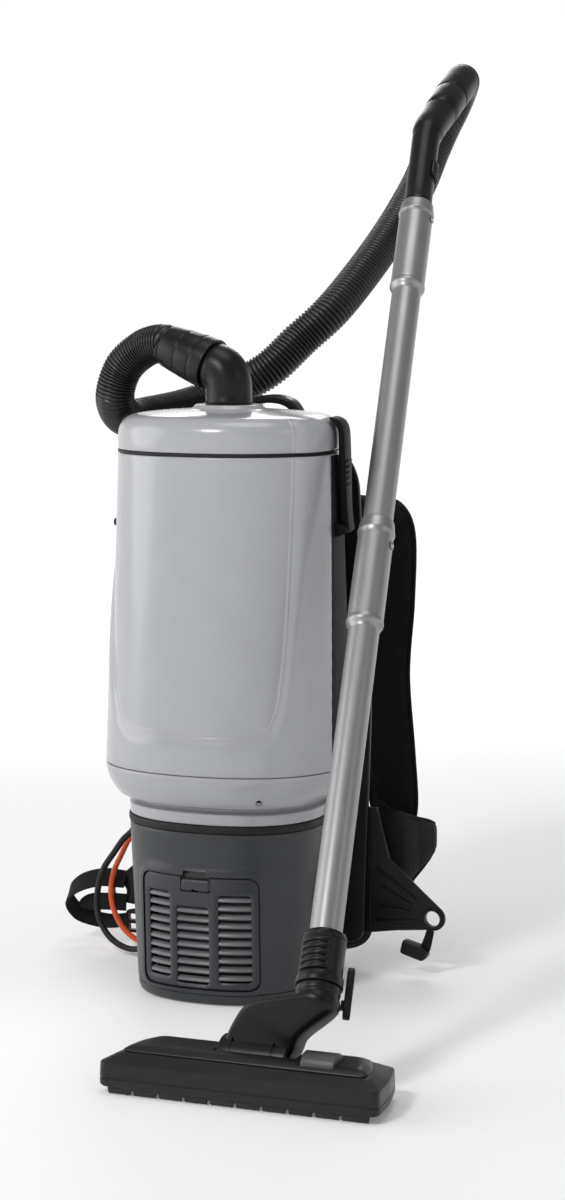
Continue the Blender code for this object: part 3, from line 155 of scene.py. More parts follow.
LOOKS = {}
for finish, colour, rough, more in (
        ("tank_grey", (0.335, 0.34, 0.36), 0.20, dict(mottle=0.02, grain=420, bump=0.02, wear=0.05, coat=0.15)),
        ("base_grey", (0.028, 0.030, 0.034), 0.36, dict(grain=1600, bump=0.14, wear=0.06, specular=0.4)),
        ("black_plastic", (0.0050, 0.0050, 0.0054), 0.34, dict(mottle=0.15, grain=1500, bump=0.12, specular=0.26)),
        ("clip_black", (0.0040, 0.0040, 0.0044), 0.55, dict(mottle=0.15, grain=1500, bump=0.12, specular=0.10)),
        # Near-black colour of the sheets in the tank's side recesses: painted shade.
        ("trim_grey", (0.0190, 0.0195, 0.0205), 0.60, dict(grain=1600, bump=0.12, specular=0.10)),
        # The slats are coloured far lighter than the black grille frame to stand for their lit tops: painted
        # highlight.
        ("slat_grey", (0.115, 0.118, 0.125), 0.36, dict(grain=1600)),
        ("nozzle_black", (0.0080, 0.0080, 0.0085), 0.36, dict(mottle=0.15, grain=1500, bump=0.12, specular=0.36)),
        ("pedal_grey", (0.045, 0.045, 0.047), 0.42, dict(grain=1500, bump=0.12)),
        ("hose_plastic", (0.0060, 0.0060, 0.0064), 0.36, dict(mottle=0.15, grain=700, bump=0.06, specular=0.42)),
        ("black_rubber", (0.0065, 0.0065, 0.0065), 0.52, dict(mottle=0.2, grain=900, bump=0.12, specular=0.3)),
        ("wand_metal", (0.30, 0.30, 0.303), 0.40, dict(metal=0.85, mottle=0.04, grain=260, bump=0.04,
                                                       stretch=(along_wand(), (1.0, 1.0, 0.03)))),
        ("zinc", (0.45, 0.45, 0.46), 0.34, dict(metal=1.0, mottle=0.08, grain=800, bump=0.08)),
        ("webbing", (0.0060, 0.0060, 0.0065), 0.80, dict(mottle=0.2, grain=2500, bump=0.7, sheen=0.06, specular=0.2,
                                                         weave=260)),
        ("pad_fabric", (0.0070, 0.0070, 0.0075), 0.90, dict(mottle=0.25, grain=1800, bump=0.6, sheen=0.05,
                                                            specular=0.15, weave=190)),
        ("filter_paper", (0.60, 0.57, 0.50), 0.9, dict(mottle=0.12, grain=1200, bump=0.4)),
        ("filter_cloth", (0.28, 0.31, 0.36), 0.9, dict(mottle=0.12, bump=0.5, weave=240)),
        ("foam", (0.030, 0.030, 0.034), 0.95, dict(mottle=0.4, grain=900, bump=0.9)),
        ("motor_plastic", (0.07, 0.07, 0.08), 0.45, dict(bump=0.12)),
        ("fan_metal", (0.42, 0.42, 0.43), 0.38, dict(metal=1.0, mottle=0.08, grain=500)),
        ("orange_cable", (0.72, 0.085, 0.020), 0.36, dict(mottle=0.06, grain=700, bump=0.08)),
        ("brush_hair", (0.014, 0.014, 0.014), 0.7, dict(mottle=0.4, grain=900, bump=0.9,
                                                        stretch=((0, 0, 0), (1.0, 1.0, 0.04))))):
    LOOKS[finish] = look(finish, colour, rough, **more)


# ---- geometry helpers -------------------------------------------------------------------------
def linked(name, data):
    """A new object in the scene."""
    made = bpy.data.objects.new(name, data)
    bpy.context.scene.collection.objects.link(made)
    return made


def mesh_object(name, verts, faces):
    """An object from plain vertices and faces, with its normals turned outward."""
    mesh = bpy.data.meshes.new(name)
    mesh.from_pydata([tuple(v) for v in verts], [], faces)
    work = bmesh.new()
    work.from_mesh(mesh)
    bmesh.ops.recalc_face_normals(work, faces=work.faces)
    work.to_mesh(mesh)
    work.free()
    return linked(name, mesh)


def shade(made, sharp):
    """Smooth shading that breaks at edges sharper than the given degrees."""
    made.data.shade_smooth()
    made.data.set_sharp_from_angle(angle=radians(sharp))


def make(name, verts, faces, slot, body, nodes=(), sharp=38):
    """A mesh piece with its finish, its body, and the CAD nodes that it stands for."""
    return dress(mesh_object(name, verts, faces), slot, body, nodes, sharp)


def dress(made, slot, body, nodes=(), sharp=38):
    """Gives a piece its look, its slot, its body and its CAD nodes."""
    if made.type == "MESH":
        shade(made, sharp)
    made.data.materials.clear()
    made.data.materials.append(LOOKS[slot])
    if body:
        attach(made, body)
    if nodes:
        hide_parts(*([nodes] if isinstance(nodes, str) else nodes))
    return made


def skin(rings, closed=False):
    """Vertices and quads over a list of point rings, capped unless closed on itself."""
    count = len(rings[0])
    verts = [Vector(p) for ring in rings for p in ring]
    faces = []
    pairs = list(range(len(rings) - 1)) + ([len(rings) - 1] if closed else [])
    for r in pairs:
        low, high = r * count, ((r + 1) % len(rings)) * count
        for i in range(count):
            j = (i + 1) % count
            faces.append((low + i, low + j, high + j, high + i))
    if not closed:
        faces.append(tuple(reversed(range(count))))
        faces.append(tuple(range((len(rings) - 1) * count, len(rings) * count)))
    return verts, faces


def join(*parts):
    """Several vertex and face lists as one."""
    verts, faces = [], []
    for part_verts, part_faces in parts:
        base = len(verts)
        verts += part_verts
        faces += [tuple(i + base for i in face) for face in part_faces]
    return verts, faces


def square_to(vector, axis):
    """The part of a vector that is square to a unit axis, one long."""
    return (vector - axis * vector.dot(axis)).normalized()


def ease(t):
    """A smooth step from 0 to 1."""
    return t * t * (3 - 2 * t)


def bend(a, b, c, t):
    """A point on the short curve from a to c that leans on the corner b."""
    return a * (1 - t) ** 2 + b * 2 * t * (1 - t) + c * t * t


def cross_axes(axis):
    """Two unit directions square to an axis and to each other."""
    axis = Vector(axis).normalized()
    helper = UP if abs(axis.z) < 0.9 else Vector(ACROSS)
    side = axis.cross(helper).normalized()
    return side, axis.cross(side).normalized()


def circle(centre, axis, radius, steps):
    """Points round a circle square to an axis."""
    side, up = cross_axes(axis)
    return [Vector(centre) + side * radius * cos(2 * pi * i / steps) + up * radius * sin(2 * pi * i / steps)
            for i in range(steps)]


def soften(profile, radius=0.0012, steps=2):
    """Rounds each corner of a (distance, radius) profile with a short curve."""
    done = [profile[0]]
    for before, here, after in zip(profile, profile[1:], profile[2:]):
        before, here, after = Vector(before), Vector(here), Vector(after)
        reach = min(radius, (before - here).length * 0.45, (after - here).length * 0.45)
        if reach < 1e-5:
            done.append(tuple(here))
            continue
        start = here + (before - here).normalized() * reach
        end = here + (after - here).normalized() * reach
        done += [tuple(bend(start, here, end, k / steps)) for k in range(steps + 1)]
    done.append(profile[-1])
    return done


def turned(start, axis, profile, steps=48, closed=False):
    """A turned form from a profile of (distance along the axis, radius)."""
    start, axis = Vector(start), Vector(axis).normalized()
    return skin([circle(start + axis * reach, axis, radius, steps) for reach, radius in profile], closed)


def stepped(count, first, pitch, radius, drop, steps):
    """The rings of a moulded strain relief: each is a step narrower than the one before."""
    profile = []
    for k in range(count):
        reach, r = first + pitch * k, radius - drop * k
        profile.append((reach, r))
        profile += [(reach + further, r - lower) for further, lower in steps]
    return profile


def catmull(points, steps):
    """A smooth curve through the given points."""
    points = [Vector(p) for p in points]
    padded = [points[0] * 2 - points[1]] + points + [points[-1] * 2 - points[-2]]
    route = []
    for a, b, c, d in zip(padded, padded[1:], padded[2:], padded[3:]):
        for k in range(steps):
            t = k / steps
            route.append(0.5 * ((2 * b) + (c - a) * t + (2 * a - 5 * b + 4 * c - d) * t * t
                                + (3 * b - a - 3 * c + d) * t ** 3))
    route.append(points[-1])
    return route


def even(points, spacing, steps=24):
    """Points a fixed distance apart along the smooth curve through the given points."""
    fine = catmull(points, steps) if steps > 1 else [Vector(p) for p in points]
    lengths = [0.0]
    for a, b in zip(fine, fine[1:]):
        lengths.append(lengths[-1] + (b - a).length)
    count = max(2, round(lengths[-1] / spacing))
    route, index = [], 0
    for k in range(count + 1):
        target = lengths[-1] * k / count
        while index < len(fine) - 2 and lengths[index + 1] < target:
            index += 1
        span = lengths[index + 1] - lengths[index]
        t = 0 if span == 0 else (target - lengths[index]) / span
        route.append(fine[index].lerp(fine[index + 1], min(1, t)))
    return route


def length_of(route):
    """The length of a line of points."""
    return sum((b - a).length for a, b in zip(route, route[1:]))


def tube_rings(route, radius, sides, first=None, last=None):
    """Rings along a route without twist. radius is a function of the distance travelled."""
    axes = [(b - a).normalized() for a, b in zip(route, route[2:])]
    axes = [Vector(first or (route[1] - route[0])).normalized()] + axes
    axes.append(Vector(last or (route[-1] - route[-2])).normalized())
    side = cross_axes(axes[0])[0]
    rings, travelled = [], 0.0
    for i, (place, axis) in enumerate(zip(route, axes)):
        if i:
            travelled += (place - route[i - 1]).length
        side = (side - axis * side.dot(axis)).normalized()
        up = axis.cross(side)
        r = radius(travelled)
        rings.append([place + (side * cos(2 * pi * k / sides) + up * sin(2 * pi * k / sides)) * r
                      for k in range(sides)])
    return rings


def signed_power(value, power):
    """A power that keeps the value's sign."""
    return (1 if value >= 0 else -1) * abs(value) ** power


def plan_point(angle, half, front, back, power=POWER):
    """A point of the squared oval that the tank and base are drawn on, seen from above."""
    x = half * signed_power(cos(angle), 2 / power)
    y = signed_power(sin(angle), 2 / power)
    return x, y * (back if y > 0 else front)


def plan_ring(z, half, front, back, power=POWER, steps=96):
    """A whole oval at a height."""
    return [Vector((*plan_point(2 * pi * i / steps, half, front, back, power), z)) for i in range(steps)]


def body_size(z):
    """Half width, front depth and back depth of the tank at a height."""
    part = (z - TANK_BOTTOM) / (TANK_TOP - TANK_BOTTOM)
    return 0.1340 - 0.0120 * part, 0.1160 - 0.0055 * part, 0.1130 - 0.0060 * part


def base_size(z):
    """The same for the motor base."""
    part = z / BASE_TOP
    return 0.0985 + 0.0095 * part, 0.0910 + 0.0040 * part, 0.0870 + 0.0030 * part


def front_y(x, z, size=base_size):
    """The y of the front wall at a place across it."""
    half, front, _ = size(z)
    return -front * (1 - min(1, abs(x) / half) ** POWER) ** (1 / POWER)


def outward(x, y, half, front, back):
    """The level direction square to the oval's wall."""
    deep = back if y > 0 else front
    n = Vector((signed_power(x / half, POWER - 1) / half, signed_power(y / deep, POWER - 1) / deep, 0))
    return n.normalized()


def rounded(corners, radius, steps=6):
    """An outline with its corners rounded."""
    count, outline = len(corners), []
    for i in range(count):
        before, here, after = (Vector(corners[(i + k) % count]) for k in (-1, 0, 1))
        into, out = (before - here).normalized(), (after - here).normalized()
        reach = min(radius, (before - here).length * 0.45, (after - here).length * 0.45)
        start, end = here + into * reach, here + out * reach
        outline += [bend(start, here, end, k / steps) for k in range(steps + 1)]
    return outline


def box_outline(x0, z0, x1, z1):
    """The four corners of a box."""
    return [(x0, z0), (x1, z0), (x1, z1), (x0, z1)]


def shrink(outline, inset):
    """An outline moved inward square to its edges."""
    count, done = len(outline), []
    area = sum(a[0] * b[1] - b[0] * a[1] for a, b in zip(outline, outline[1:] + outline[:1]))
    sign = 1 if area > 0 else -1
    for i in range(count):
        a, b, c = (Vector(outline[(i + k) % count][:2]) for k in (-1, 0, 1))
        one, two = b - a, c - b
        if one.length < 1e-7 or two.length < 1e-7:
            done.append(b)
            continue
        n1 = Vector((-one.y, one.x)).normalized() * sign
        n2 = Vector((-two.y, two.x)).normalized() * sign
        n = n1 + n2
        n = n / max(0.5, n.length_squared / 2)
        done.append(b + n * inset)
    return done


def slab(outline, low, high, edge=0.0015, steps=3):
    """A plate with rounded rims: the outline lofted between two positions along Y."""
    levels = []
    for k in range(steps + 1):
        a = pi / 2 * k / steps
        levels.append((edge * (1 - sin(a)), edge * (1 - cos(a))))
    rings = [(shrink(outline, inset), low + rise) for inset, rise in levels]
    rings += [(shrink(outline, inset), high - rise) for inset, rise in reversed(levels)]
    return skin([[Vector((p[0], level, p[1])) for p in ring] for ring, level in rings])


def cut(target, *tools, operation="DIFFERENCE"):
    """Booleans applied at once, so that the piece keeps a plain mesh."""
    for verts, faces in tools:
        cutter = mesh_object("cutter", verts, faces)
        modifier = target.modifiers.new("cut", "BOOLEAN")
        modifier.operation = operation
        modifier.object = cutter
        modifier.solver = "EXACT"
        apply_all(target)
        bpy.data.objects.remove(cutter)
    shade(target, 32)


def apply_all(target):
    """Applies every modifier to the mesh."""
    graph = bpy.context.evaluated_depsgraph_get()
    graph.update()
    done = bpy.data.meshes.new_from_object(target.evaluated_get(graph))
    old = target.data
    target.modifiers.clear()
    target.data = done
    bpy.data.meshes.remove(old)


def cord_curve(name, route, radius, slot, body, nodes):
    """A round cord along a route."""
    curve = bpy.data.curves.new(name, "CURVE")
    curve.dimensions = "3D"
    curve.bevel_depth = radius
    curve.bevel_resolution = 3
    curve.use_fill_caps = True
    spline = curve.splines.new("POLY")
    spline.points.add(len(route) - 1)
    for point, place in zip(spline.points, route):
        point.co = (*place, 1.0)
    return dress(linked(name, curve), slot, body, nodes)


def hang(child, parent):
    """Hangs a small piece on another, where it stands."""
    child.parent = parent
    child.matrix_parent_inverse = parent.matrix_world.inverted()


# ---- camera, floor and lights -----------------------------------------------------------------
def fade(tree, value, start, end, near, far):
    """A smooth step from near to far while the value goes from start to end."""
    step = tree.nodes.new("ShaderNodeMapRange")
    step.interpolation_type = "SMOOTHSTEP"
    for socket, number in (("From Min", start), ("From Max", end), ("To Min", near), ("To Max", far)):
        step.inputs[socket].default_value = number
    tree.links.new(value, step.inputs["Value"])
    return step.outputs["Result"]


def make_stage():
    """Camera, floor, surroundings and lamps."""
    camera = linked("camera", bpy.data.cameras.new("camera"))
    camera.location = (1.208, -2.836, 0.787)
    camera.rotation_euler = (radians(90 - 6.66), 0, radians(22))
    camera.data.lens = 85.8
    camera.data.sensor_width = 36
    bpy.context.scene.camera = camera

    bpy.ops.mesh.primitive_plane_add(size=14, location=(0, 0, -0.0004))
    floor = bpy.context.object
    floor.name = "floor"
    paint = bpy.data.materials.new("floor")
    paint.use_nodes = True
    tree = paint.node_tree
    shader = tree.nodes["Principled BSDF"]
    shader.inputs["Base Color"].default_value = (0.86, 0.86, 0.86, 1)
    shader.inputs["Roughness"].default_value = 0.65
    shader.inputs["Emission Color"].default_value = (1, 1, 1, 1)
    span = tree.nodes.new("ShaderNodeVectorMath")
    span.operation = "LENGTH"
    tree.links.new(tree.nodes.new("ShaderNodeTexCoord").outputs["Object"], span.inputs[0])
    tree.links.new(fade(tree, span.outputs["Value"], 0.8, 3.4, 0.11, 0.72), shader.inputs["Emission Strength"])
    floor.data.materials.append(paint)

    world = bpy.data.worlds.new("studio")
    bpy.context.scene.world = world
    world.use_nodes = True
    tree = world.node_tree
    background = tree.nodes["Background"]
    background.inputs["Color"].default_value = (1, 1, 1, 1)
    split = tree.nodes.new("ShaderNodeSeparateXYZ")
    tree.links.new(tree.nodes.new("ShaderNodeTexCoord").outputs["Generated"], split.inputs["Vector"])
    tree.links.new(fade(tree, split.outputs["Z"], 0.06, 0.34, 1.02, 0.30), background.inputs["Strength"])
    bpy.context.scene.view_settings.view_transform = "Standard"

    target = Vector((0.03, 0.0, 0.45))
    for name, place, size, power in (("key", (-0.55, -2.4, 2.3), 0.6, 38), ("left", (-2.7, -1.1, 1.3), 2.6, 36),
                                     ("right", (2.6, -0.4, 1.9), 0.9, 3), ("top", (0.2, -0.2, 2.9), 1.5, 15),
                                     ("back", (-0.9, 2.5, 1.9), 1.4, 20)):
        lamp = bpy.data.lights.new(name, "AREA")
        lamp.shape = "DISK"
        lamp.size = size
        lamp.energy = power
        light = linked(name, lamp)
        light.location = place
        light.rotation_euler = (target - Vector(place)).to_track_quat("-Z", "Y").to_euler()


make_stage()


# ---- cords ------------------------------------------------------------------------------------
CABLE_TILT = Vector((-0.75, 0, -0.66)).normalized()
BOOT = 0.0249                   # from a cable exit to the tip of its boot
LEAD_EXIT = Vector((-0.1508, 0.1170, 0.1510))
PIGTAIL_EXIT = Vector((-0.1508, 0.1030, 0.1540))
GLAND_OUT = Vector((-0.88, 0.475, 0)).normalized()
GLAND_PLACE = Vector((-0.0905, 0.0475, 0.0240))
PLUG_R = 0.0185
COIL_ENTRY = radians(228)
TURN_STEPS = 30


def coil_route():
    """Turns wound in layers: each layer runs across the coil, then steps up to the next at its edge."""
    inner = COIL_MEAN_R - COIL_PITCH * (COIL_ACROSS - 1) / 2
    cells = []
    for layer in range(COIL_HIGH):
        order = range(COIL_ACROSS - 1, -1, -1) if layer % 2 == 0 else range(COIL_ACROSS)
        cells += [(ring, layer) for ring in order]
    route = []
    window = 5                      # steps over which a turn moves to its next place
    for number, (ring, layer) in enumerate(cells):
        was = cells[number - 1] if number else (COIL_ACROSS, 0)     # one place outside the outermost turn
        for k in range(TURN_STEPS):
            t = ease(min(1.0, k / window))
            r = was[0] + (ring - was[0]) * t
            z = was[1] + (layer - was[1]) * t
            if number and was[1] != layer:
                r += sin(pi * t) * 0.75 * (1 if ring > 1 else -1)
            angle = COIL_ENTRY - 2 * pi * (k / TURN_STEPS)
            route.append(COIL_CENTRE + Vector((cos(angle) * (inner + r * COIL_PITCH),
                                               sin(angle) * (inner + r * COIL_PITCH),
                                               LEAD_R + 0.0003 + z * COIL_PITCH)))
    return route


def make_cables():
    """The orange mains lead with its coil and plug, and the black motor cable."""
    start = LEAD_EXIT + CABLE_TILT * BOOT
    entry = COIL_MEAN_R + COIL_PITCH * COIL_ACROSS / 2 + 0.0030
    entry_point = COIL_CENTRE + Vector((entry * cos(COIL_ENTRY), entry * sin(COIL_ENTRY), LEAD_R + 0.0003))
    lead = [start, start + CABLE_TILT * 0.010, (-0.1860, 0.1165, 0.1100), (-0.1950, 0.1150, 0.0900),
            (-0.1985, 0.1130, 0.0660), (-0.1930, 0.1110, 0.0420), (-0.1790, 0.1100, 0.0215),
            (-0.1600, 0.1120, 0.0090), (-0.1450, 0.1230, 0.00385), (-0.1390, 0.1450, 0.00355),
            (-0.1480, 0.1850, 0.00355), (-0.1780, 0.2300, 0.00355), entry_point]
    lead = even(lead, 0.007)
    coil = coil_route()
    plug_z = COIL_HIGH * COIL_PITCH + PLUG_R + GAP
    tail = COIL_CENTRE + Vector((-0.0300, COIL_MEAN_R, plug_z))
    last = coil[-1]
    climb = even([coil[-2], last, last + Vector((-0.010, 0.019, 0.0012)),
                  COIL_CENTRE + Vector((-0.0640, 0.0080, 0.0385)), COIL_CENTRE + Vector((-0.0610, 0.0350, 0.0465)),
                  tail + Vector((-0.0120, -0.0012, 0.0)), tail], 0.006)
    route = lead[:-1] + coil[2:-1] + climb[1:]
    cable = cord_curve("mains_cable", route, LEAD_R, "orange_cable", "pack", ("mains_lead", "lead_coil"))
    plug = make_plug(tail)
    make_boot()

    start = PIGTAIL_EXIT + CABLE_TILT * BOOT
    end = GLAND_PLACE + GLAND_OUT * 0.0204
    tail = even([start, start + CABLE_TILT * 0.010, (-0.1880, 0.1010, 0.1150), (-0.2015, 0.0980, 0.0930),
                 (-0.2075, 0.0950, 0.0640), (-0.2030, 0.0910, 0.0380), (-0.1870, 0.0870, 0.0170),
                 (-0.1620, 0.0830, 0.0075), (-0.1330, 0.0720, 0.0140), end + GLAND_OUT * 0.009, end], 0.006)
    pigtail = cord_curve("motor_cable", tail, PIGTAIL_R, "black_rubber", "pack", "pigtail")
    profile = [(0, 0.0090), (0.005, 0.0090), (0.0055, 0.0068)]
    profile += stepped(4, 0.0062, 0.0034, 0.0066, 0.0005, ((0.0018, 0.0001), (0.0021, 0.0010), (0.0031, 0.0011)))
    profile += [(0.0200, 0.0045)]
    gland = make("motor_gland", *turned(GLAND_PLACE, GLAND_OUT, profile, 28), "black_rubber", "pack", "cable_gland")


def make_plug(tail):
    """A moulded plug: ribbed neck, knurled grip, flange and a socket face with two pins set in."""
    neck = [(0, 0.0045)]
    neck += stepped(5, 0.0022, 0.0044, 0.0050, -0.0008, ((0.0026, -0.0004), (0.0030, 0.0008), (0.0040, 0.0006)))
    body = soften([(0.0242, 0.0088), (0.0262, 0.0150), (0.0300, 0.0175), (0.0330, 0.0185), (0.0470, 0.0185),
                   (0.0480, 0.0165)], 0.0012, 2)
    verts, faces = turned(tail, (1, 0, 0), neck + body, 60)
    grip = []
    for v in verts:
        ray = Vector((0, v.y - tail.y, v.z - tail.z))
        if 0.0335 < v.x - tail.x < 0.0465:
            ridge = 0.5 + 0.5 * cos(atan2(ray.z, ray.y) * 20)
            v = Vector((v.x, tail.y, tail.z)) + ray * (1 - 0.035 * ridge)
        grip.append(v)
    pins = []
    for side in (-0.0055, 0.0055):
        pins.append(turned(tail + Vector((0.0455, side, 0)), (1, 0, 0), [(0, 0.0020), (0.0035, 0.0020)], 16))
    plug = make("lead_plug", *join((grip, faces)), "black_plastic", "pack", "mains_plug")
    metal = make("plug_pins", *join(*pins), "zinc", "pack")
    hang(metal, plug)
    return plug


def make_boot():
    """Tapered strain relief on the mains lead."""
    profile = [(0, 0.0055), (0.0015, 0.0056)]
    profile += stepped(4, 0.0028, 0.0036, 0.0054, 0.0004, ((0.0022, 0.0001), (0.0025, 0.0010), (0.0034, 0.0011)))
    profile += [(0.0190, 0.0039)]
    start = LEAD_EXIT + CABLE_TILT * 0.0055
    return make("lead_boot", *turned(start, CABLE_TILT, profile, 28), "black_rubber", "pack", "lead_connector")


def bend_route(steps=18):
    """Centreline of the bend that turns the hose back under the handle."""
    side = square_to(Vector((-0.467, 0.405, -0.786)), GRIP)
    start = HANDLE_TOP + GRIP * (GRIP_LENGTH + GAP)
    corner = start + GRIP * 0.040
    places, axes = [start, start + GRIP * 0.020], [GRIP, GRIP]
    for i in range(steps + 1):
        angle = radians(150) * i / steps
        places.append(corner + (GRIP * sin(angle) + side * (1 - cos(angle))) * 0.030)
        axes.append(GRIP * cos(angle) + side * sin(angle))
    return places, axes


def ribbed(start_r, end_r, total, pitch):
    """Outer radius of a ribbed hose along its length: rounded crests with narrow grooves."""
    def radius(travelled):
        share = min(1.0, travelled / total)
        wave = abs(sin(pi * travelled / pitch))
        return start_r + (end_r - start_r) * share - 0.0022 * (1 - wave) ** 1.4
    return radius


def make_hose():
    """The ribbed hose, from the elbow's cuff past the lid and up to the handle."""
    start = ELBOW_CORNER + CUFF_OUT * 0.0819
    places, axes = bend_route()
    end = places[-1] + axes[-1] * GAP
    loop = [start, start + CUFF_OUT * 0.008, (-0.1080, 0.0175, 0.6975), (-0.1335, 0.0180, 0.6760),
            (-0.1468, 0.0240, 0.6424), (-0.1500, 0.0580, 0.6200), (-0.1379, 0.1000, 0.6200), HOSE_SPLIT]
    rise = (0.0394, 0.2220, 0.7430)         # where the lid's motion has faded out of the hose
    run = [HOSE_SPLIT, (-0.0312, 0.1720, 0.6665), (0.0048, 0.1950, 0.7036), rise, (0.0664, 0.3000, 0.8112),
           (0.0784, 0.3800, 0.8761), (0.0838, 0.4250, 0.9243), end + axes[-1] * 0.010, end]
    whole = catmull(loop + run[1:], 24)
    split = min(range(len(whole)), key=lambda i: (whole[i] - HOSE_SPLIT).length)
    meeting = (whole[split + 1] - whole[split - 1]).normalized()
    for name, piece, pitch, radii, bodies, ends, node in (
            ("hose_at_lid", whole[:split + 1], 0.0034, (0.0212, 0.0222), ("elbow", "lid"), (CUFF_OUT, meeting),
             "hose_loop"),
            ("hose_to_handle", whole[split:], 0.0046, (0.0218, 0.0206), ("lid", "pack"), (meeting, -axes[-1]),
             "hose_run")):
        total = length_of(piece)
        route = even(piece, pitch / 5, 1)
        rings = tube_rings(route, ribbed(*radii, total, pitch), 30, *ends)
        hose = make(name, *skin(rings), "hose_plastic", None, node, sharp=75)
        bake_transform(hose)


make_cables()
make_hose()


# ---- tank, lower shell and lid ----------------------------------------------------------------
PANEL_DEPTH = 0.0042            # how far the front panel lies below the tank's outer face
PANEL_BAND = 0.0170             # width of the slope round the panel
STRIP_DEPTH = 0.0026            # the side strips behind the front face
FOLD_BEAD = 0.0012              # the fine raised line along the panel's edge


def strip_edge(z):
    """Where the front face ends on the right side, in degrees round the tank."""
    return -3.3 - (0.604 - z) * 26.0


def perimeter_table():
    """Distance round the tank at mid height, from the front middle, for each half degree."""
    half, front, back = body_size(0.42)
    points = [Vector(plan_point(radians(a / 2), half, front, back)) for a in range(-720, 721)]
    lengths = [0.0]
    for a, b in zip(points, points[1:]):
        lengths.append(lengths[-1] + (b - a).length)
    angles = np.arange(-720, 721) / 2
    lengths = np.array(lengths)
    return angles, lengths - np.interp(-90, angles, lengths)


ANGLES, LENGTHS = perimeter_table()


def distance_at(angle):
    """Distance round the tank at an angle in degrees."""
    return float(np.interp(angle, ANGLES, LENGTHS))


def panel_outline():
    """The front panel's edge as (distance round, height): a U that runs up over the lid."""
    left = [(-176, 0.70), (-176, 0.56), (-158, 0.44), (-139, 0.345), (-133, 0.322)]
    bottom = [(-126, 0.303), (-105, 0.2955), (-82.8, 0.2925), (-58, 0.2965)]
    right = [(-50.5, 0.312), (-46.5, 0.338), (-42.3, 0.393), (-37.8, 0.490), (-34.1, 0.587), (-33.2, 0.61),
             (-32.5, 0.70)]
    points = catmull([(distance_at(a), z, 0) for a, z in left + bottom + right], 6)
    return np.array([(p.x, p.y) for p in points])


PANEL = panel_outline()


def panel_distance(s, z):
    """Distance outside the panel's edge, negative inside, for arrays of points."""
    a, b = PANEL, np.roll(PANEL, -1, axis=0)
    p = np.stack([s, z], 1)[:, None, :]
    ab = (b - a)[None]
    t = np.clip(((p - a) * ab).sum(2) / (ab ** 2).sum(2), 0, 1)
    gap = np.sqrt((((p - a) - ab * t[..., None]) ** 2).sum(2)).min(1)
    up = (a[None, :, 1] > p[:, :, 1]) != (b[None, :, 1] > p[:, :, 1])
    slope = (b[:, 0] - a[:, 0]) / np.where(b[:, 1] == a[:, 1], 1e-9, b[:, 1] - a[:, 1])
    crossing = p[:, :, 0] < a[None, :, 0] + (p[:, :, 1] - a[None, :, 1]) * slope
    inside = (up & crossing).sum(1) % 2 == 1
    return np.where(inside, -gap, gap)


def smooth(t):
    """The same smooth step for arrays, held between 0 and 1."""
    return ease(np.clip(t, 0, 1))


def tank_relief(angles, heights):
    """How far each point of the grey wall stands out from its plain surface."""
    s = np.interp(angles, ANGLES, LENGTHS)
    d = panel_distance(s, heights)
    t = np.clip(d / PANEL_BAND, 0, 1)
    relief = np.where(d <= 0, -PANEL_DEPTH, -PANEL_DEPTH * (1 - t) ** 1.9)
    relief = relief + FOLD_BEAD * np.exp(-(d / 0.0012) ** 2)
    edge = strip_edge(heights)
    behind = s - np.interp(edge, ANGLES, LENGTHS)
    strip = np.where((angles > edge) & (angles < 100), smooth(behind / 0.0016), 0.0)
    left_edge = -180 - edge
    past = np.interp(left_edge, ANGLES, LENGTHS) - s
    strip = np.maximum(strip, np.where((angles < left_edge) | (angles > 100), smooth(past / 0.0016), 0.0))
    return relief - STRIP_DEPTH * strip


# Fine steps round the front and sides, wider ones behind.
RING_ANGLES = np.concatenate([np.arange(-184, 4, 0.45), np.arange(4, 176, 3.0)])


def relief_ring(z, inset, size, level, share=1.0, roundness=0.0):
    """A ring of the grey wall with a share of its relief, turning round towards the inlet."""
    half, front, back = size
    wrapped = np.where(RING_ANGLES > 90, RING_ANGLES - 360, RING_ANGLES)
    lift = tank_relief(wrapped, np.full(len(wrapped), level)) * share
    ring = []
    radius = (front + back) / 2 - inset
    for angle, rise in zip(RING_ANGLES, lift):
        x, y = plan_point(radians(angle), half - inset, front - inset, back - inset)
        n = outward(x, y, half, front, back)
        p = Vector((x, y, z)) + n * rise
        if roundness:
            q = Vector((radius * cos(radians(angle)), radius * sin(radians(angle)), z))
            p = p.lerp(q, roundness)
        ring.append(p)
    return ring


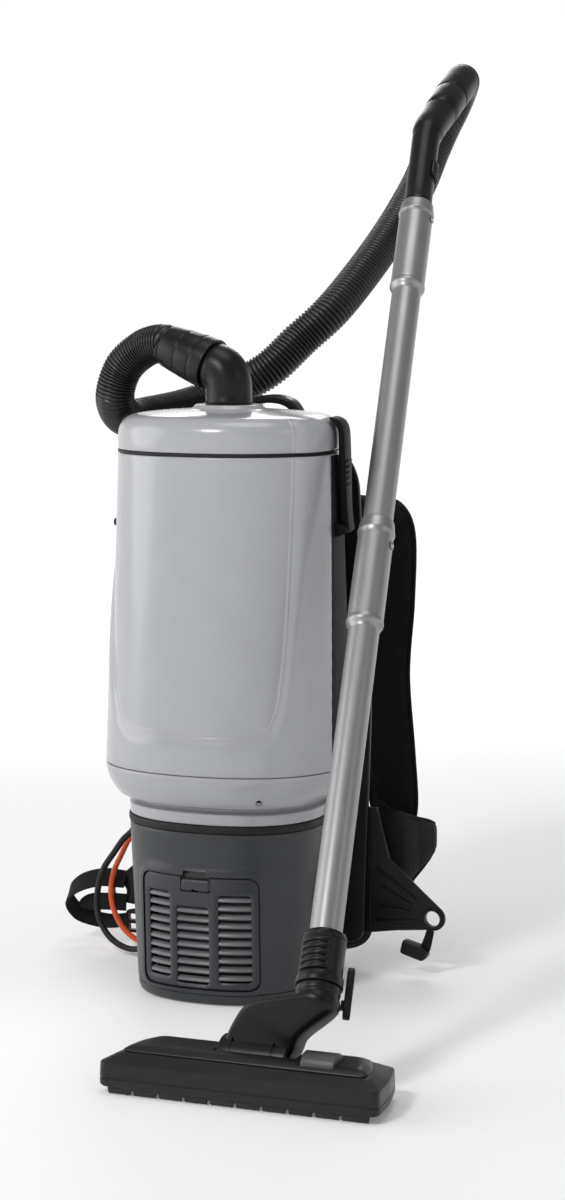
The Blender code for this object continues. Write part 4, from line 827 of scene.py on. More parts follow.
def make_tank():
    """The grey tank with its front panel, the clips' lugs, the near-black sheets of painted shade in the side recesses
    and the waisted lower shell.
    """
    heights = [0.2568 + 0.0013 * k for k in range(60)] + [0.3360 + 0.0036 * k for k in range(70)]
    heights = [z for z in heights if z < 0.586]
    edges = [(TANK_BOTTOM, 0.0012), (TANK_BOTTOM + 0.0006, 0.0003), (TANK_BOTTOM + 0.0018, 0.0)]
    rings = [relief_ring(z, inset, body_size(z), z) for z, inset in edges]
    rings += [relief_ring(z, 0.0, body_size(z), z) for z in heights]
    rings += [relief_ring(z, inset, body_size(z), z) for z, inset in
              ((TANK_TOP - 0.0016, 0.0), (TANK_TOP - 0.0004, 0.0004), (TANK_TOP, 0.0013))]
    inner = [relief_ring(z, 0.0072, body_size(z), z, 0.3) for z in (TANK_TOP, TANK_BOTTOM)]
    make("tank", *skin(rings + inner, closed=True), "tank_grey", "pack", "tank_shell", sharp=50)
    make("clip_mounts", *join(*clip_ears(1), *clip_ears(-1)), "clip_black", "pack")
    # Near-black sheets laid in the side recesses: painted shade for the shaded side strip.
    for name, flip in (("right", False), ("left", True)):
        make("side_shade_sheet_" + name, *side_shade_sheet(flip), "trim_grey", "pack")

    neck = [(0.1969, 0.1075, 0.0935, 0.0905), (0.2030, 0.1081, 0.0941, 0.0911), (0.2078, 0.1085, 0.0945, 0.0914),
            (0.2088, 0.1076, 0.0936, 0.0905), (0.2096, 0.1044, 0.0905, 0.0874), (0.2112, 0.1020, 0.0881, 0.0850),
            (0.2132, 0.1030, 0.0891, 0.0860), (0.2150, 0.1090, 0.0950, 0.0917), (0.2164, 0.1144, 0.1002, 0.0961),
            (0.2190, 0.1190, 0.1041, 0.0996), (0.2240, 0.1236, 0.1077, 0.1034), (0.2290, 0.1268, 0.1104, 0.1062),
            (0.2340, 0.1295, 0.1127, 0.1088), (0.2400, 0.1318, 0.1146, 0.1111),
            (0.2460, 0.1332, 0.1155, 0.1124), (0.2504, 0.1339, 0.1159, 0.1130), (0.2514, 0.1336, 0.1156, 0.1127),
            (0.2518, 0.1326, 0.1146, 0.1117)]
    rings = [plan_ring(z, half, front, back, steps=180) for z, half, front, back in neck]
    rings += [plan_ring(z, 0.042, 0.042, 0.042, 2, 180) for z in (0.2518, 0.2488)]
    rings += [plan_ring(z, half - 0.0035, front - 0.0035, back - 0.0035, steps=180)
              for z, half, front, back in reversed(neck) if z < 0.247]
    shell = make("lower_body", *skin(rings, closed=True), "tank_grey", "pack", "lower_shell", sharp=50)
    dimple = turned(Vector((0.0750, -0.0963, 0.2235)), (-0.5, 0.85, 0), [(0, 0.0050), (0.0078, 0.0030)], 24)
    cut(shell, dimple)


def side_shade_sheet(flip):
    """A near-black sheet let into the recess along each side of the tank: painted shade where the side strip falls in
    shadow.
    """
    rows = 60
    rings = []
    for k in range(rows + 1):
        z = TANK_BOTTOM + 0.0022 + (TANK_TOP - TANK_BOTTOM - 0.0040) * k / rows
        half, front, back = body_size(z)
        start = strip_edge(z) + 1.1
        outer, inner = [], []
        for i in range(31):
            share = i / 30
            angle = radians(start + (64 - start) * share)
            ends = min(1.0, share / 0.03, (1 - share) / 0.03, k + 0.2, rows - k + 0.2)
            x, y = plan_point(angle, half, front, back)
            n = outward(x, y, half, front, back)
            place = Vector((x, y, z))
            outer.append(place + n * (-STRIP_DEPTH + 0.0004 + 0.0010 * ends))
            inner.append(place - n * (STRIP_DEPTH + 0.0006))
        ring = outer + inner[::-1]
        if flip:
            ring = [Vector((-p.x, p.y, p.z)) for p in ring]
        rings.append(ring)
    return skin(rings)


def clip_frame(side):
    """Where a clip stands on the tank's side, the way it faces, and the way along it."""
    half, _, back = body_size(TANK_TOP)
    x = half * (1 - (0.017 / back) ** POWER) ** (1 / POWER)
    turn = radians(9)
    return (Vector((side * x, 0.017, 0)), Vector((side * cos(turn), sin(turn), 0)),
            Vector((-side * sin(turn), cos(turn), 0)))


def clip_ears(side):
    """The two lugs and the pin on which a lid clip turns."""
    origin, out, across = clip_frame(side)
    lug = ((-0.006, 0.4990), (0.0060, 0.5020), (0.0118, 0.5050), (0.0126, 0.5080), (0.0118, 0.5112),
           (0.0060, 0.5140), (-0.006, 0.5170))
    parts = []
    for sign in (-1, 1):
        parts.append(skin([[origin + out * u + across * sign * reach + UP * w for u, w in lug]
                           for reach in (0.0188, 0.0214)]))
    pin = origin + out * 0.0088 + UP * 0.508 - across * 0.0212
    parts.append(turned(pin, across, [(0, 0.0020), (0.0424, 0.0020)], 16))
    return parts


def lid_rings():
    """The lid's cover from its rim over the shoulder to the inlet, and back along its inside."""
    size = body_size(TANK_TOP)
    profile = [(LID_BOTTOM, 0.0014, 1, 0), (LID_BOTTOM + 0.0005, 0.0004, 1, 0), (LID_BOTTOM + 0.0016, 0, 1, 0),
               (0.5990, 0, 1, 0), (0.6060, 0, 1, 0), (0.6095, 0.0002, 1, 0), (0.6130, 0.0007, 1, 0),
               (0.6160, 0.0014, 1, 0), (0.6190, 0.0026, 1, 0), (0.6218, 0.0046, 1, 0), (0.6240, 0.0068, 0.95, 0),
               (0.6258, 0.0094, 0.9, 0), (0.6272, 0.0122, 0.8, 0), (0.6284, 0.0155, 0.7, 0), (0.6294, 0.0195, 0.55, 0),
               (0.6301, 0.0240, 0.45, 0), (0.6309, 0.0300, 0.35, 0.04), (0.6319, 0.0390, 0.2, 0.14),
               (0.6328, 0.0480, 0.08, 0.27), (0.6335, 0.0560, 0, 0.42), (0.6340, 0.0620, 0, 0.60)]
    rings = [relief_ring(z, inset, size, z, share, roundness) for z, inset, share, roundness in profile]
    for z, r in ((0.6343, 0.0436), (0.6347, 0.0412), (0.6355, 0.0396), (0.6372, 0.0378), (0.6388, 0.0366),
                 (0.6394, 0.0354), (0.6395, 0.0340), (0.6395, 0.0236), (0.6300, 0.0236)):
        rings.append([Vector((r * cos(radians(a)), r * sin(radians(a)), z)) for a in RING_ANGLES])
    inner = ((0.6262, 0.0260), (0.6205, 0.0130), (0.6095, 0.0072), (LID_BOTTOM, 0.0072))
    return rings + [relief_ring(z, inset, size, 0.60, 0.3) for z, inset in inner]


def make_lid():
    """The lid, its gasket, and the dark band at the waist."""
    make("lid_cover", *skin(lid_rings(), closed=True), "tank_grey", "lid", "lid", sharp=50)
    low, high = 0.5889, 0.5921
    profile = [(low, 0.0062), (low + 0.0004, 0.0054), ((low + high) / 2, 0.0050), (high - 0.0004, 0.0054),
               (high, 0.0062)]
    half, front, back = body_size(0.59)
    rings = [plan_ring(z, half - i, front - i, back - i, steps=144) for z, i in profile]
    rings += [plan_ring(z, half - 0.010, front - 0.010, back - 0.010, steps=144) for z in (high, low)]
    make("lid_gasket", *skin(rings, closed=True), "black_rubber", "lid", "lid_seal")
    half, front, back = base_size(0.192)
    profile = [(0.1879, 0.0006), (0.1884, -0.0004), (0.1900, -0.0009), (0.1935, -0.0009), (0.1955, -0.0004),
               (0.1964, 0.0008), (0.1964, 0.0088), (0.1879, 0.0088)]
    rings = [plan_ring(z, half - i, front - i, back - i, steps=144) for z, i in profile]
    make("waist_gasket", *skin(rings, closed=True), "black_rubber", "pack", "housing_seal")


def make_filter():
    """The cloth filter hung in the tank, with the ring that carries it."""
    rings = []
    for z, r in ((0.2720, 0.0640), (0.2728, 0.0700), (0.2750, 0.0800), (0.2800, 0.0850), (0.3000, 0.0880),
                 (0.4300, 0.0905), (0.5700, 0.0930)):
        rings.append(plan_ring(z, r + 0.006, r, r, 2, 96))
    half, front, back = body_size(0.577)
    for z, i in ((0.5704, 0.0088), (0.5712, 0.0082), (0.5830, 0.0082), (0.5840, 0.0090), (0.5840, 0.0160)):
        rings.append(plan_ring(z, half - i, front - i, back - i, steps=96))
    for z, r in ((0.5600, 0.0910), (0.3000, 0.0860), (0.2800, 0.0810)):
        rings.append(plan_ring(z, r + 0.004, r - 0.002, r - 0.002, 2, 96))
    make("filter_cup", *skin(rings), "filter_cloth", "pack", "filter_sack")


def clip_profile():
    """A lid clip from the side, as (distance out, height): a round foot, a long arm and a hooked tip."""
    foot = [(0.0088 + 0.0046 * cos(radians(a)), 0.508 + 0.0046 * sin(radians(a))) for a in range(360, 179, -20)]
    inner = [(0.0034, 0.5200), (0.0022, 0.6060), (0.0018, 0.6120), (0.0006, 0.6165), (-0.0022, 0.6208),
             (-0.0050, 0.6236), (-0.0078, 0.6256)]
    outer = [(-0.0084, 0.6266), (-0.0076, 0.6274), (-0.0040, 0.6272), (0.0000, 0.6256), (0.0040, 0.6226),
             (0.0066, 0.6180), (0.0080, 0.6120), (0.0086, 0.6050), (0.0092, 0.5900),
             (0.0098, 0.5760), (0.0102, 0.5600), (0.0112, 0.5300)]
    return [Vector(p) for p in foot + inner + outer]


def make_clips():
    """The two sprung arms that hold the lid, each with finger ribs."""
    outline = clip_profile()
    for side, name in ((1, "right"), (-1, "left")):
        origin, out, across = clip_frame(side)
        rings = []
        for reach, inset in ((-0.0180, 0.0009), (-0.0176, 0.0003), (-0.0168, 0.0), (0.0168, 0.0), (0.0176, 0.0003),
                             (0.0180, 0.0009)):
            ring = []
            for p in shrink(outline, inset):
                share = min(1.0, max(0.0, (p.y - 0.515) / 0.10))
                narrow = 0.80 + 0.20 * ease(share)
                ring.append(origin + out * p.x + across * reach * narrow + UP * p.y)
            rings.append(ring)
        parts = [skin(rings)]
        profile = [(0, 0.0009), (0.0008, 0.0014), (0.0242, 0.0014), (0.0250, 0.0009)]
        for k in range(5):
            z = 0.5560 + 0.0062 * k
            parts.append(turned(origin + out * 0.0100 + UP * z - across * 0.0125, across, profile, 10))
        make("clip_" + name, *join(*parts), "clip_black", "clip_" + name, "lid_clip_" + name)


make_tank()
make_filter()
make_lid()
make_clips()


# ---- motor base and grille --------------------------------------------------------------------
WINDOW = box_outline(-0.0675, 0.0175, 0.0675, 0.1405)


def prism(outline, near, far):
    """A cutter that runs along Y."""
    return skin([[Vector((p[0], y, p[1])) for p in outline] for y in (near, far)])


def box_gap(x, z, half_x, half_z, corner):
    """Distance outside a rounded box round the origin, negative inside."""
    qx, qz = abs(x) - (half_x - corner), abs(z) - (half_z - corner)
    return sqrt(max(qx, 0) ** 2 + max(qz, 0) ** 2) + min(max(qx, qz), 0) - corner


def window_gap(x, z):
    """Distance outside the rounded grille window, negative inside."""
    return box_gap(x, z - 0.079, 0.0675, 0.0615, 0.012)


def base_ring(z, inset, relief=True, steps=240):
    """A ring of the base's wall, raised round the grille window."""
    half, front, back = base_size(z)
    ring = []
    for i in range(steps):
        x, y = plan_point(2 * pi * i / steps, half - inset, front - inset, back - inset)
        lift = 0.0
        if relief and y < 0 and abs(x) < 0.09:
            t = min(1.0, max(0.0, (window_gap(x * 1.02, z) - 0.0050) / 0.0060))
            lift = 0.0028 * (1 - ease(t))
        p = Vector((x, y, z))
        ring.append(p + outward(x, y, half, front, back) * lift)
    return ring


def make_base():
    """The motor base with its grille window, and the foot under it."""
    heights = [0.0124, 0.0128, 0.0140] + [0.0165 + 0.0034 * k for k in range(43)]
    heights += [0.1640, 0.1700, 0.1760, 0.1820, 0.1858, 0.1869, 0.1875]
    insets = {0.0124: 0.0010, 0.0128: 0.0003, 0.1869: 0.0004, 0.1875: 0.0012}
    outer = [base_ring(z, insets.get(z, 0.0)) for z in heights]
    inner = [base_ring(z, 0.0032, False) for z in (0.1875, 0.0124)]
    base = make("base_body", *skin(outer + inner, closed=True), "base_grey", "pack", "base_housing")
    half = 0.0682
    window = rounded(box_outline(-half, 0.0168, half, 0.1412), 0.0127, 8)
    pocket = rounded(box_outline(-0.0140, 0.1390, 0.0130, 0.1465), 0.0028, 5)
    cut(base, prism(window, -0.13, -0.035), prism(pocket, -0.13, -0.035))
    depth = front_y(0, 0.143) + 0.0035
    floor = slab(rounded(box_outline(-0.0150, 0.1380, 0.0140, 0.1475), 0.003, 4), depth, depth + 0.0016,
                 edge=0.0004, steps=2)
    make("latch_pocket", *floor, "base_grey", "pack")

    profile = ((0.0, 0.0058), (0.0004, 0.0046), (0.0014, 0.0032), (0.0030, 0.0018), (0.0055, 0.0008),
               (0.0085, 0.0002), (0.0112, 0.0), (0.0118, 0.0004), (0.0120, 0.0012))
    rings = [plan_ring(z, 0.0988 - i, 0.0912 - i, 0.0872 - i, steps=180) for z, i in profile]
    make("base_foot", *skin(rings), "base_grey", "pack", "base_plate")


# The openings between the grille's ribs, as (left, bottom, right, top, slats).
COLUMNS = ((-0.0592, 0.0275, -0.0318, 0.1215, 10), (-0.0232, 0.0225, 0.0146, 0.1070, 9),
           (0.0250, 0.0255, 0.0592, 0.1210, 10))


def grille_surface(x, z, back=0.0):
    """A point on the grille's curved front, back metres behind it."""
    y = front_y(x, z)
    half, front, depth = base_size(z)
    n = outward(x, y, half, front, depth)
    return Vector((x, y, z)) - n * back


def column_gap(x, z):
    """Distance outside the nearest rounded opening."""
    return min(box_gap(x - (x0 + x1) / 2, z - (z0 + z1) / 2, (x1 - x0) / 2, (z1 - z0) / 2, 0.004)
               for x0, z0, x1, z1, _ in COLUMNS)


def make_grille():
    """The louvred cover: a dished frame with three openings, and the slats in them."""
    across, up = 96, 88
    x0, x1, z0, z1 = -0.0676, 0.0676, 0.0174, 0.1406
    verts, faces = [], []
    for layer in (0, 1):
        for j in range(up + 1):
            for i in range(across + 1):
                x, z = x0 + (x1 - x0) * i / across, z0 + (z1 - z0) * j / up
                if layer:
                    verts.append(grille_surface(x, z, 0.0030))
                    continue
                rim = -window_gap(x, z)
                lift = 0.0016 - 0.0017 * max(0.0, 1 - max(0.0, rim) / 0.0024) ** 2
                inner = column_gap(x, z)
                lift -= 0.0018 * max(0.0, 1 - max(0.0, inner) / 0.0030) ** 1.5
                verts.append(grille_surface(x, z, -lift))
    row, layer = across + 1, (across + 1) * (up + 1)
    for j in range(up):
        for i in range(across):
            a = j * row + i
            faces.append((a, a + 1, a + row + 1, a + row))
            faces.append((a + layer, a + row + layer, a + row + 1 + layer, a + 1 + layer))
    for i in range(across):
        a, b = i, up * row + i
        faces.append((a, a + layer, a + 1 + layer, a + 1))
        faces.append((b, b + 1, b + 1 + layer, b + layer))
    for j in range(up):
        a, b = j * row, j * row + across
        faces.append((a, a + row, a + row + layer, a + layer))
        faces.append((b, b + layer, b + row + layer, b + row))
    cover = make("grille_frame", verts, faces, "base_grey", "grille", "grille_cover", sharp=32)
    cut(cover, prism(rounded(WINDOW, 0.012, 8), -0.13, -0.03), operation="INTERSECT")
    tools = [prism(rounded(box_outline(*column[:4]), 0.004, 5), -0.13, -0.03) for column in COLUMNS]
    tools.append(prism(rounded(box_outline(-0.0175, 0.1235, 0.0175, 0.1500), 0.0015, 3), -0.13, -0.03))
    cut(cover, *tools)
    cover.data.set_sharp_from_angle(angle=radians(30))

    louvre = ((0.0006, -0.0024), (0.0002, -0.0014), (0.0009, 0.0010), (0.0022, 0.0022), (0.0046, 0.0034),
              (0.0056, 0.0030), (0.0052, 0.0022), (0.0032, 0.0006), (0.0022, -0.0010), (0.0016, -0.0024))
    slats, steps = [], 10
    for left, low, right, high, count in COLUMNS:
        for k in range(count):
            z = low + (high - low) / count * (k + 0.5)
            rings = []
            for i in range(steps + 1):
                x = left - 0.0012 + (right - left + 0.0024) * i / steps
                rings.append([grille_surface(x, z, back) + UP * rise * 0.88 for back, rise in louvre])
            slats.append(skin(rings))
    # The slats' lighter grey is painted highlight for their lit tops; they are the same black plastic as the frame.
    make("grille_slats", *join(*slats), "slat_grey", "grille")
    make_latch()


def make_latch():
    """The catch at the top of the grille."""
    rings = []
    for z, rise, half in ((0.1240, -0.0014, 0.0158), (0.1244, 0.0012, 0.0165), (0.1256, 0.0022, 0.0169),
                          (0.1290, 0.0024, 0.0170), (0.1330, 0.0020, 0.0170), (0.1352, 0.0014, 0.0169),
                          (0.1365, 0.0004, 0.0165), (0.1370, -0.0014, 0.0158)):
        top, bottom = [], []
        steps = 14
        for i in range(steps + 1):
            x = -half + 2 * half * i / steps
            inside = min(1.0, (half - abs(x)) / 0.0014)
            top.append(grille_surface(x, z, -rise + 0.0014 * (1 - inside) ** 2))
            bottom.append(grille_surface(x, z, 0.0030))
        rings.append(top + bottom[::-1])
    latch = make("grille_catch", *skin(rings), "base_grey", "latch", "grille_latch")
    cut(latch, prism(rounded(box_outline(-0.0042, 0.1200, 0.0042, 0.1268), 0.001, 3), -0.12, -0.088))


make_base()
make_grille()


# ---- elbow, cuff, wand and handle -------------------------------------------------------------
def ring_towards(centre, axis, radius, steps):
    """A circle whose first point faces the back, so that rings round a bend keep in step."""
    axis = Vector(axis).normalized()
    side = square_to(Vector(ALONG_Y), axis)
    up = axis.cross(side)
    return [Vector(centre) + side * radius * cos(2 * pi * i / steps) + up * radius * sin(2 * pi * i / steps)
            for i in range(steps)]


def swept(stations, steps=56):
    """A bent tube from (place, axis, outer radius, bore) stations. The bore may be left out between its ends."""
    outside = [ring_towards(p, a, r, steps) for p, a, r, _ in stations]
    inside = [ring_towards(p, a, bore, steps) for p, a, _, bore in stations if bore]
    return skin(outside + inside[::-1], closed=True)


def make_elbow():
    """The elbow on the lid and the fluted cuff that holds the hose."""
    out = CUFF_OUT
    bore = 0.0195
    stations = [(Vector((0, 0, 0.5935)), UP, 0.0225, bore), (Vector((0, 0, 0.6390)), UP, 0.0225, None)]
    for z, r in ((0.6397, 0.0236), (0.6402, 0.0250), (0.6408, 0.0254), (0.6440, 0.0254), (0.6446, 0.0251)):
        stations.append((Vector((0, 0, z)), UP, r, None))
    start, end = ELBOW_CORNER - UP * 0.0200, ELBOW_CORNER + out * 0.0140
    steps = 12
    for i in range(steps + 1):
        t = i / steps
        stations.append((bend(start, ELBOW_CORNER, end, t), (UP * (1 - t) + out * t).normalized(), 0.0251,
                         bore if i % 3 == 0 else None))
    for reach, r, hole in ((0.0200, 0.0251, None), (0.0207, 0.0247, None), (0.0211, 0.0236, None),
                           (0.0211, 0.0222, None), (0.0330, 0.0222, bore)):
        stations.append((ELBOW_CORNER + out * reach, out, r, hole))
    make("elbow", *swept(stations), "black_plastic", "elbow", "inlet_elbow", sharp=45)

    start = ELBOW_CORNER + out * 0.0215
    profile = soften([(0.0004, 0.0228), (0, 0.0266), (0.0006, 0.0280), (0.0016, 0.0282), (0.0120, 0.0281),
                      (0.0150, 0.0279), (0.0158, 0.0270), (0.0172, 0.0270), (0.0180, 0.0276), (0.0300, 0.0266),
                      (0.0350, 0.0261), (0.0357, 0.0253), (0.0371, 0.0252), (0.0379, 0.0257), (0.0500, 0.0244),
                      (0.0580, 0.0234), (0.0600, 0.0224), (0.0600, 0.0150), (0.0160, 0.0150), (0.0160, 0.0226)],
                     0.0006)
    rings = []
    side, up = cross_axes(out)
    for reach, r in profile:
        fluted = r > 0.0240 and 0.0205 < reach < 0.0330
        ring = []
        for i in range(72):
            a = 2 * pi * i / 72
            flute = -0.0006 * max(0.0, cos(18 * a)) ** 2 if fluted else 0.0
            ring.append(start + out * reach + (side * cos(a) + up * sin(a)) * (r + flute))
        rings.append(ring)
    make("hose_end_cuff", *skin(rings, closed=True), "black_plastic", "cuff", "hose_cuff", sharp=40)


def tube_profile(start, end, lip):
    """A wand tube with a swaged neck, a wider socket and a bead near its mouth, lip short of the end."""
    neck = end - SOCKET_LENGTH
    end -= lip
    outer = [(start, TUBE_R - 0.0004), (start + 0.0006, TUBE_R), (neck - 0.008, TUBE_R),
             (neck - 0.005, TUBE_R + 0.0010), (neck - 0.001, TUBE_R + 0.0034), (neck + 0.002, TUBE_R + 0.0036),
             (neck + 0.005, TUBE_R + 0.0026), (neck + 0.008, SOCKET_R), (end - 0.0190, SOCKET_R),
             (end - 0.0165, SOCKET_R + 0.0006), (end - 0.0140, SOCKET_R + 0.0014),
             (end - 0.0115, SOCKET_R + 0.0008), (end - 0.0070, SOCKET_R + 0.0001),
             (end - 0.0030, SOCKET_R - 0.0004), (end - 0.0008, SOCKET_R - 0.0008), (end, SOCKET_R - 0.0014)]
    bore, socket = TUBE_R - 0.0012, TUBE_R + 0.0004
    inner = [(start, bore), (neck - 0.004, bore), (neck + 0.006, socket), (end, socket)]
    return soften(outer, 0.0014, 3) + inner[::-1]


def button_place(end):
    """The axis point and direction of a tube's button."""
    side = square_to(WAND_SIDE, WAND_AXIS)
    toward = WAND_AXIS.cross(side)
    if toward.y > 0:
        toward = -toward
    return WAND_LOW + WAND_AXIS * (end - 0.030), (side * 0.94 + toward * 0.34).normalized()


def make_wand():
    """The two metal tubes with their buttons, and the handle above."""
    lower_end = 0.4760
    for half, start, end, lip in (("lower", -0.0430, lower_end, 0.0),
                                  ("upper", lower_end - 0.095, WAND_LENGTH, 0.008)):
        name, button = "wand_" + half, half + "_button"
        form = turned(WAND_LOW, WAND_AXIS, tube_profile(start, end, lip), 64, closed=True)
        tube = make(name, *form, "wand_metal", "pack", half + "_tube", sharp=50)
        place, side = button_place(end)
        cut(tube, turned(place, side, [(0.0100, 0.0036), (0.0260, 0.0036)], 24))
        rim = [(0.0185, 0.0036), (0.0194, 0.0048), (0.0197, 0.0046), (0.0196, 0.0036)]
        make(name + "_button_rim", *turned(place, side, rim, 28, True), "wand_metal", "pack")
        dome = [(0.0128, 0.0032), (0.0186, 0.0032), (0.0196, 0.0029), (0.0203, 0.0022), (0.0207, 0.0012),
                (0.0208, 0.0003)]
        make(button + "_dome", *turned(place, side, dome, 24), "zinc", button, button)
    make_handle()


def make_handle():
    """The bent grip, and the bend that turns the hose back under it."""
    stations = []

    def station(place, axis, radius, bore=None):
        stations.append((place, axis, radius, bore))

    station(WAND_HIGH - WAND_AXIS * 0.070, WAND_AXIS, 0.0160, 0.0115)
    for reach, r in ((-0.0080, 0.0160), (-0.0066, 0.0162), (-0.0028, 0.0162), (-0.0020, 0.0158),
                     (0.0240, 0.0156), (0.0700, 0.0156)):
        station(WAND_HIGH + WAND_AXIS * reach, WAND_AXIS, r)
    start, end = HANDLE_TOP - WAND_AXIS * 0.020, HANDLE_TOP + GRIP * 0.020
    steps = 10
    for i in range(steps + 1):
        t = i / steps
        axis = (WAND_AXIS * (1 - t) + GRIP * t).normalized()
        collar = 0.0012 if i > 4 else 0.0
        station(bend(start, HANDLE_TOP, end, t), axis, 0.0157 + 0.0016 * t + collar, 0.0120 if i % 5 == 0 else None)
    for reach, r in ((0.0300, 0.0185), (0.0420, 0.0190), (0.0498, 0.0193), (0.0510, 0.0186), (0.0525, 0.0184),
                     (0.0540, 0.0189), (0.0550, 0.0195), (0.0680, 0.0199), (0.0800, 0.0201), (0.0935, 0.0202),
                     (0.0945, 0.0199)):
        station(HANDLE_TOP + GRIP * reach, GRIP, r)
    station(HANDLE_TOP + GRIP * GRIP_LENGTH, GRIP, 0.0192, 0.0150)
    grip = make("handle_grip", *swept(stations), "black_plastic", "pack", "wand_handle", sharp=50)
    place, side = button_place(WAND_LENGTH)
    cut(grip, turned(place, side, [(0.0090, 0.0042), (0.0260, 0.0042)], 24))

    places, axes = bend_route()
    stations = [(places[0], axes[0], 0.0194, 0.0150), (places[0] + GRIP * 0.0008, GRIP, 0.0203, None),
                (places[0] + GRIP * 0.0030, GRIP, 0.0206, None), (places[1], GRIP, 0.0206, 0.0150)]
    stations += [(place, axis, 0.0205, 0.0150) for place, axis in zip(places[2:-1], axes[2:-1])]
    stations.append((places[-1] - axes[-1] * 0.0001, axes[-1], 0.0196, 0.0150))
    make("handle_bend", *swept(stations), "black_plastic", "pack", "handle_cuff", sharp=50)
    make_slider()


def make_slider():
    """The ribbed shell that slides on the handle to let air in."""
    side = square_to(WAND_SIDE, WAND_AXIS)
    front = WAND_AXIS.cross(side)
    rings = []
    steps = 24
    sections = [(0.0300, 0.0004, 44), (0.0303, 0.0014, 47), (0.0312, 0.0021, 48)]
    for k in range(6):
        reach = 0.0335 + 0.0025 * k
        sections += [(reach, 0.0021, 48), (reach + 0.0006, 0.0026, 48), (reach + 0.0013, 0.0026, 48),
                     (reach + 0.0019, 0.0021, 48)]
    sections += [(0.0508, 0.0021, 48), (0.0517, 0.0014, 47), (0.0520, 0.0004, 44)]
    for reach, extra, spread in sections:
        base = WAND_HIGH + WAND_AXIS * reach
        outer, inner = [], []
        for i in range(steps + 1):
            share = abs(2 * i / steps - 1)
            angle = radians(-spread + 2 * spread * i / steps)
            ray = side * cos(angle) + front * sin(angle)
            outer.append(base + ray * (0.0167 + extra * (1 - 0.75 * max(0.0, (share - 0.86) / 0.14) ** 2)))
            inner.append(base + ray * 0.0164)
        rings.append(outer + inner[::-1])
    make("suction_slider", *skin(rings), "black_plastic", "air_slider", "air_slider")


# ---- floor cuff, neck and nozzle --------------------------------------------------------------
CUFF_DEPTH = 0.055
NOZZLE_X, NOZZLE_HALF = 0.187, 0.1437
NOZZLE_FRONT, NOZZLE_BACK = -0.430, -0.338
PIVOT = Vector((NOZZLE_X, -0.372, 0.031))
BARREL_R, BARREL_HALF = 0.0238, 0.0350


def make_floor_cuff():
    """The cuff at the wand's foot: grip ribs most of the way round, cut off by a flat panel."""
    low = WAND_LOW - WAND_AXIS * CUFF_DEPTH
    side = square_to(WAND_SIDE, WAND_AXIS)
    front = WAND_AXIS.cross(side)
    if front.y > 0:
        front = -front
    flat_middle = radians(22)
    rib_radius = {"valley": 0.0196, "flank": 0.0212, "crest": 0.0217}
    profile = [(-0.018, 0.0160), (-0.0002, 0.0160), (0.0, 0.0226), (0.0004, 0.0231), (0.0012, 0.0233),
               (0.0092, 0.0229), (0.0100, 0.0226), (0.0104, 0.0214)]
    first, pitch, ribs = 0.0128, 0.0070, 5
    for k in range(ribs):
        reach = first + pitch * k
        profile += [(reach, "valley"), (reach + 0.0007, "flank"), (reach + 0.0014, "crest"),
                    (reach + 0.0036, "crest"), (reach + 0.0043, "flank"), (reach + 0.0050, "valley")]
    profile += [(0.0484, 0.0205), (0.0490, 0.0212), (0.0500, 0.0214), (0.0530, 0.0210), (0.0544, 0.0204),
                (CUFF_DEPTH, 0.0194)]
    bore = TUBE_R + 0.0004
    profile += [(CUFF_DEPTH, bore), (0.0115, bore), (0.0115, 0.0135), (-0.018, 0.0135)]
    rings = []
    for reach, r in profile:
        ring = []
        for i in range(96):
            a = 2 * pi * i / 96
            radius = r
            if r in rib_radius:
                away = abs((a - flat_middle + pi) % (2 * pi) - pi)
                panel = 1 - min(1.0, max(0.0, (away - radians(50)) / radians(5)))
                radius = rib_radius[r] * (1 - panel) + 0.0213 * panel
            ring.append(low + WAND_AXIS * reach + (side * cos(a) + front * sin(a)) * radius)
        rings.append(ring)
    make("floor_tool_cuff", *skin(rings, closed=True), "black_plastic", "pack", "floor_cuff", sharp=45)


def neck_sections():
    """The neck from the nozzle's pivot up to the wand: square at its foot, round at its top."""
    swivel = WAND_LOW - WAND_AXIS * (CUFF_DEPTH + GAP)
    low = Vector((0.1870, -0.3680, 0.0360))
    rows = [(low, (0.02, 0.25, 0.97), 0.0345, 0.0178, 10.0),
            (Vector((0.1950, -0.3640, 0.0555)), (0.30, 0.22, 0.93), 0.0335, 0.0190, 10.0),
            (Vector((0.2070, -0.3650, 0.0720)), (0.42, 0.28, 0.86), 0.0305, 0.0210, 7.0),
            (swivel - WAND_AXIS * 0.016 + Vector((-0.0030, 0, -0.0010)), (0.20, 0.45, 0.86), 0.0240, 0.0212, 2.6),
            (swivel - WAND_AXIS * 0.0085, tuple(WAND_AXIS), 0.0207, 0.0207, 2.0)]
    places = catmull([row[0] for row in rows], 6)
    axes = catmull([row[1] for row in rows], 6)
    sizes = catmull([(row[2], row[3], row[4]) for row in rows], 6)
    sections = [(p, a.normalized(), s.x, s.y, s.z) for p, a, s in zip(places, axes, sizes)]
    for reach, r in ((0.0076, 0.0209), (0.0070, 0.0214), (0.0058, 0.0216), (0.0016, 0.0216), (0.0006, 0.0214),
                     (0.0, 0.0209)):
        sections.append((swivel - WAND_AXIS * reach, WAND_AXIS, r, r, 2.0))
    return swivel, sections


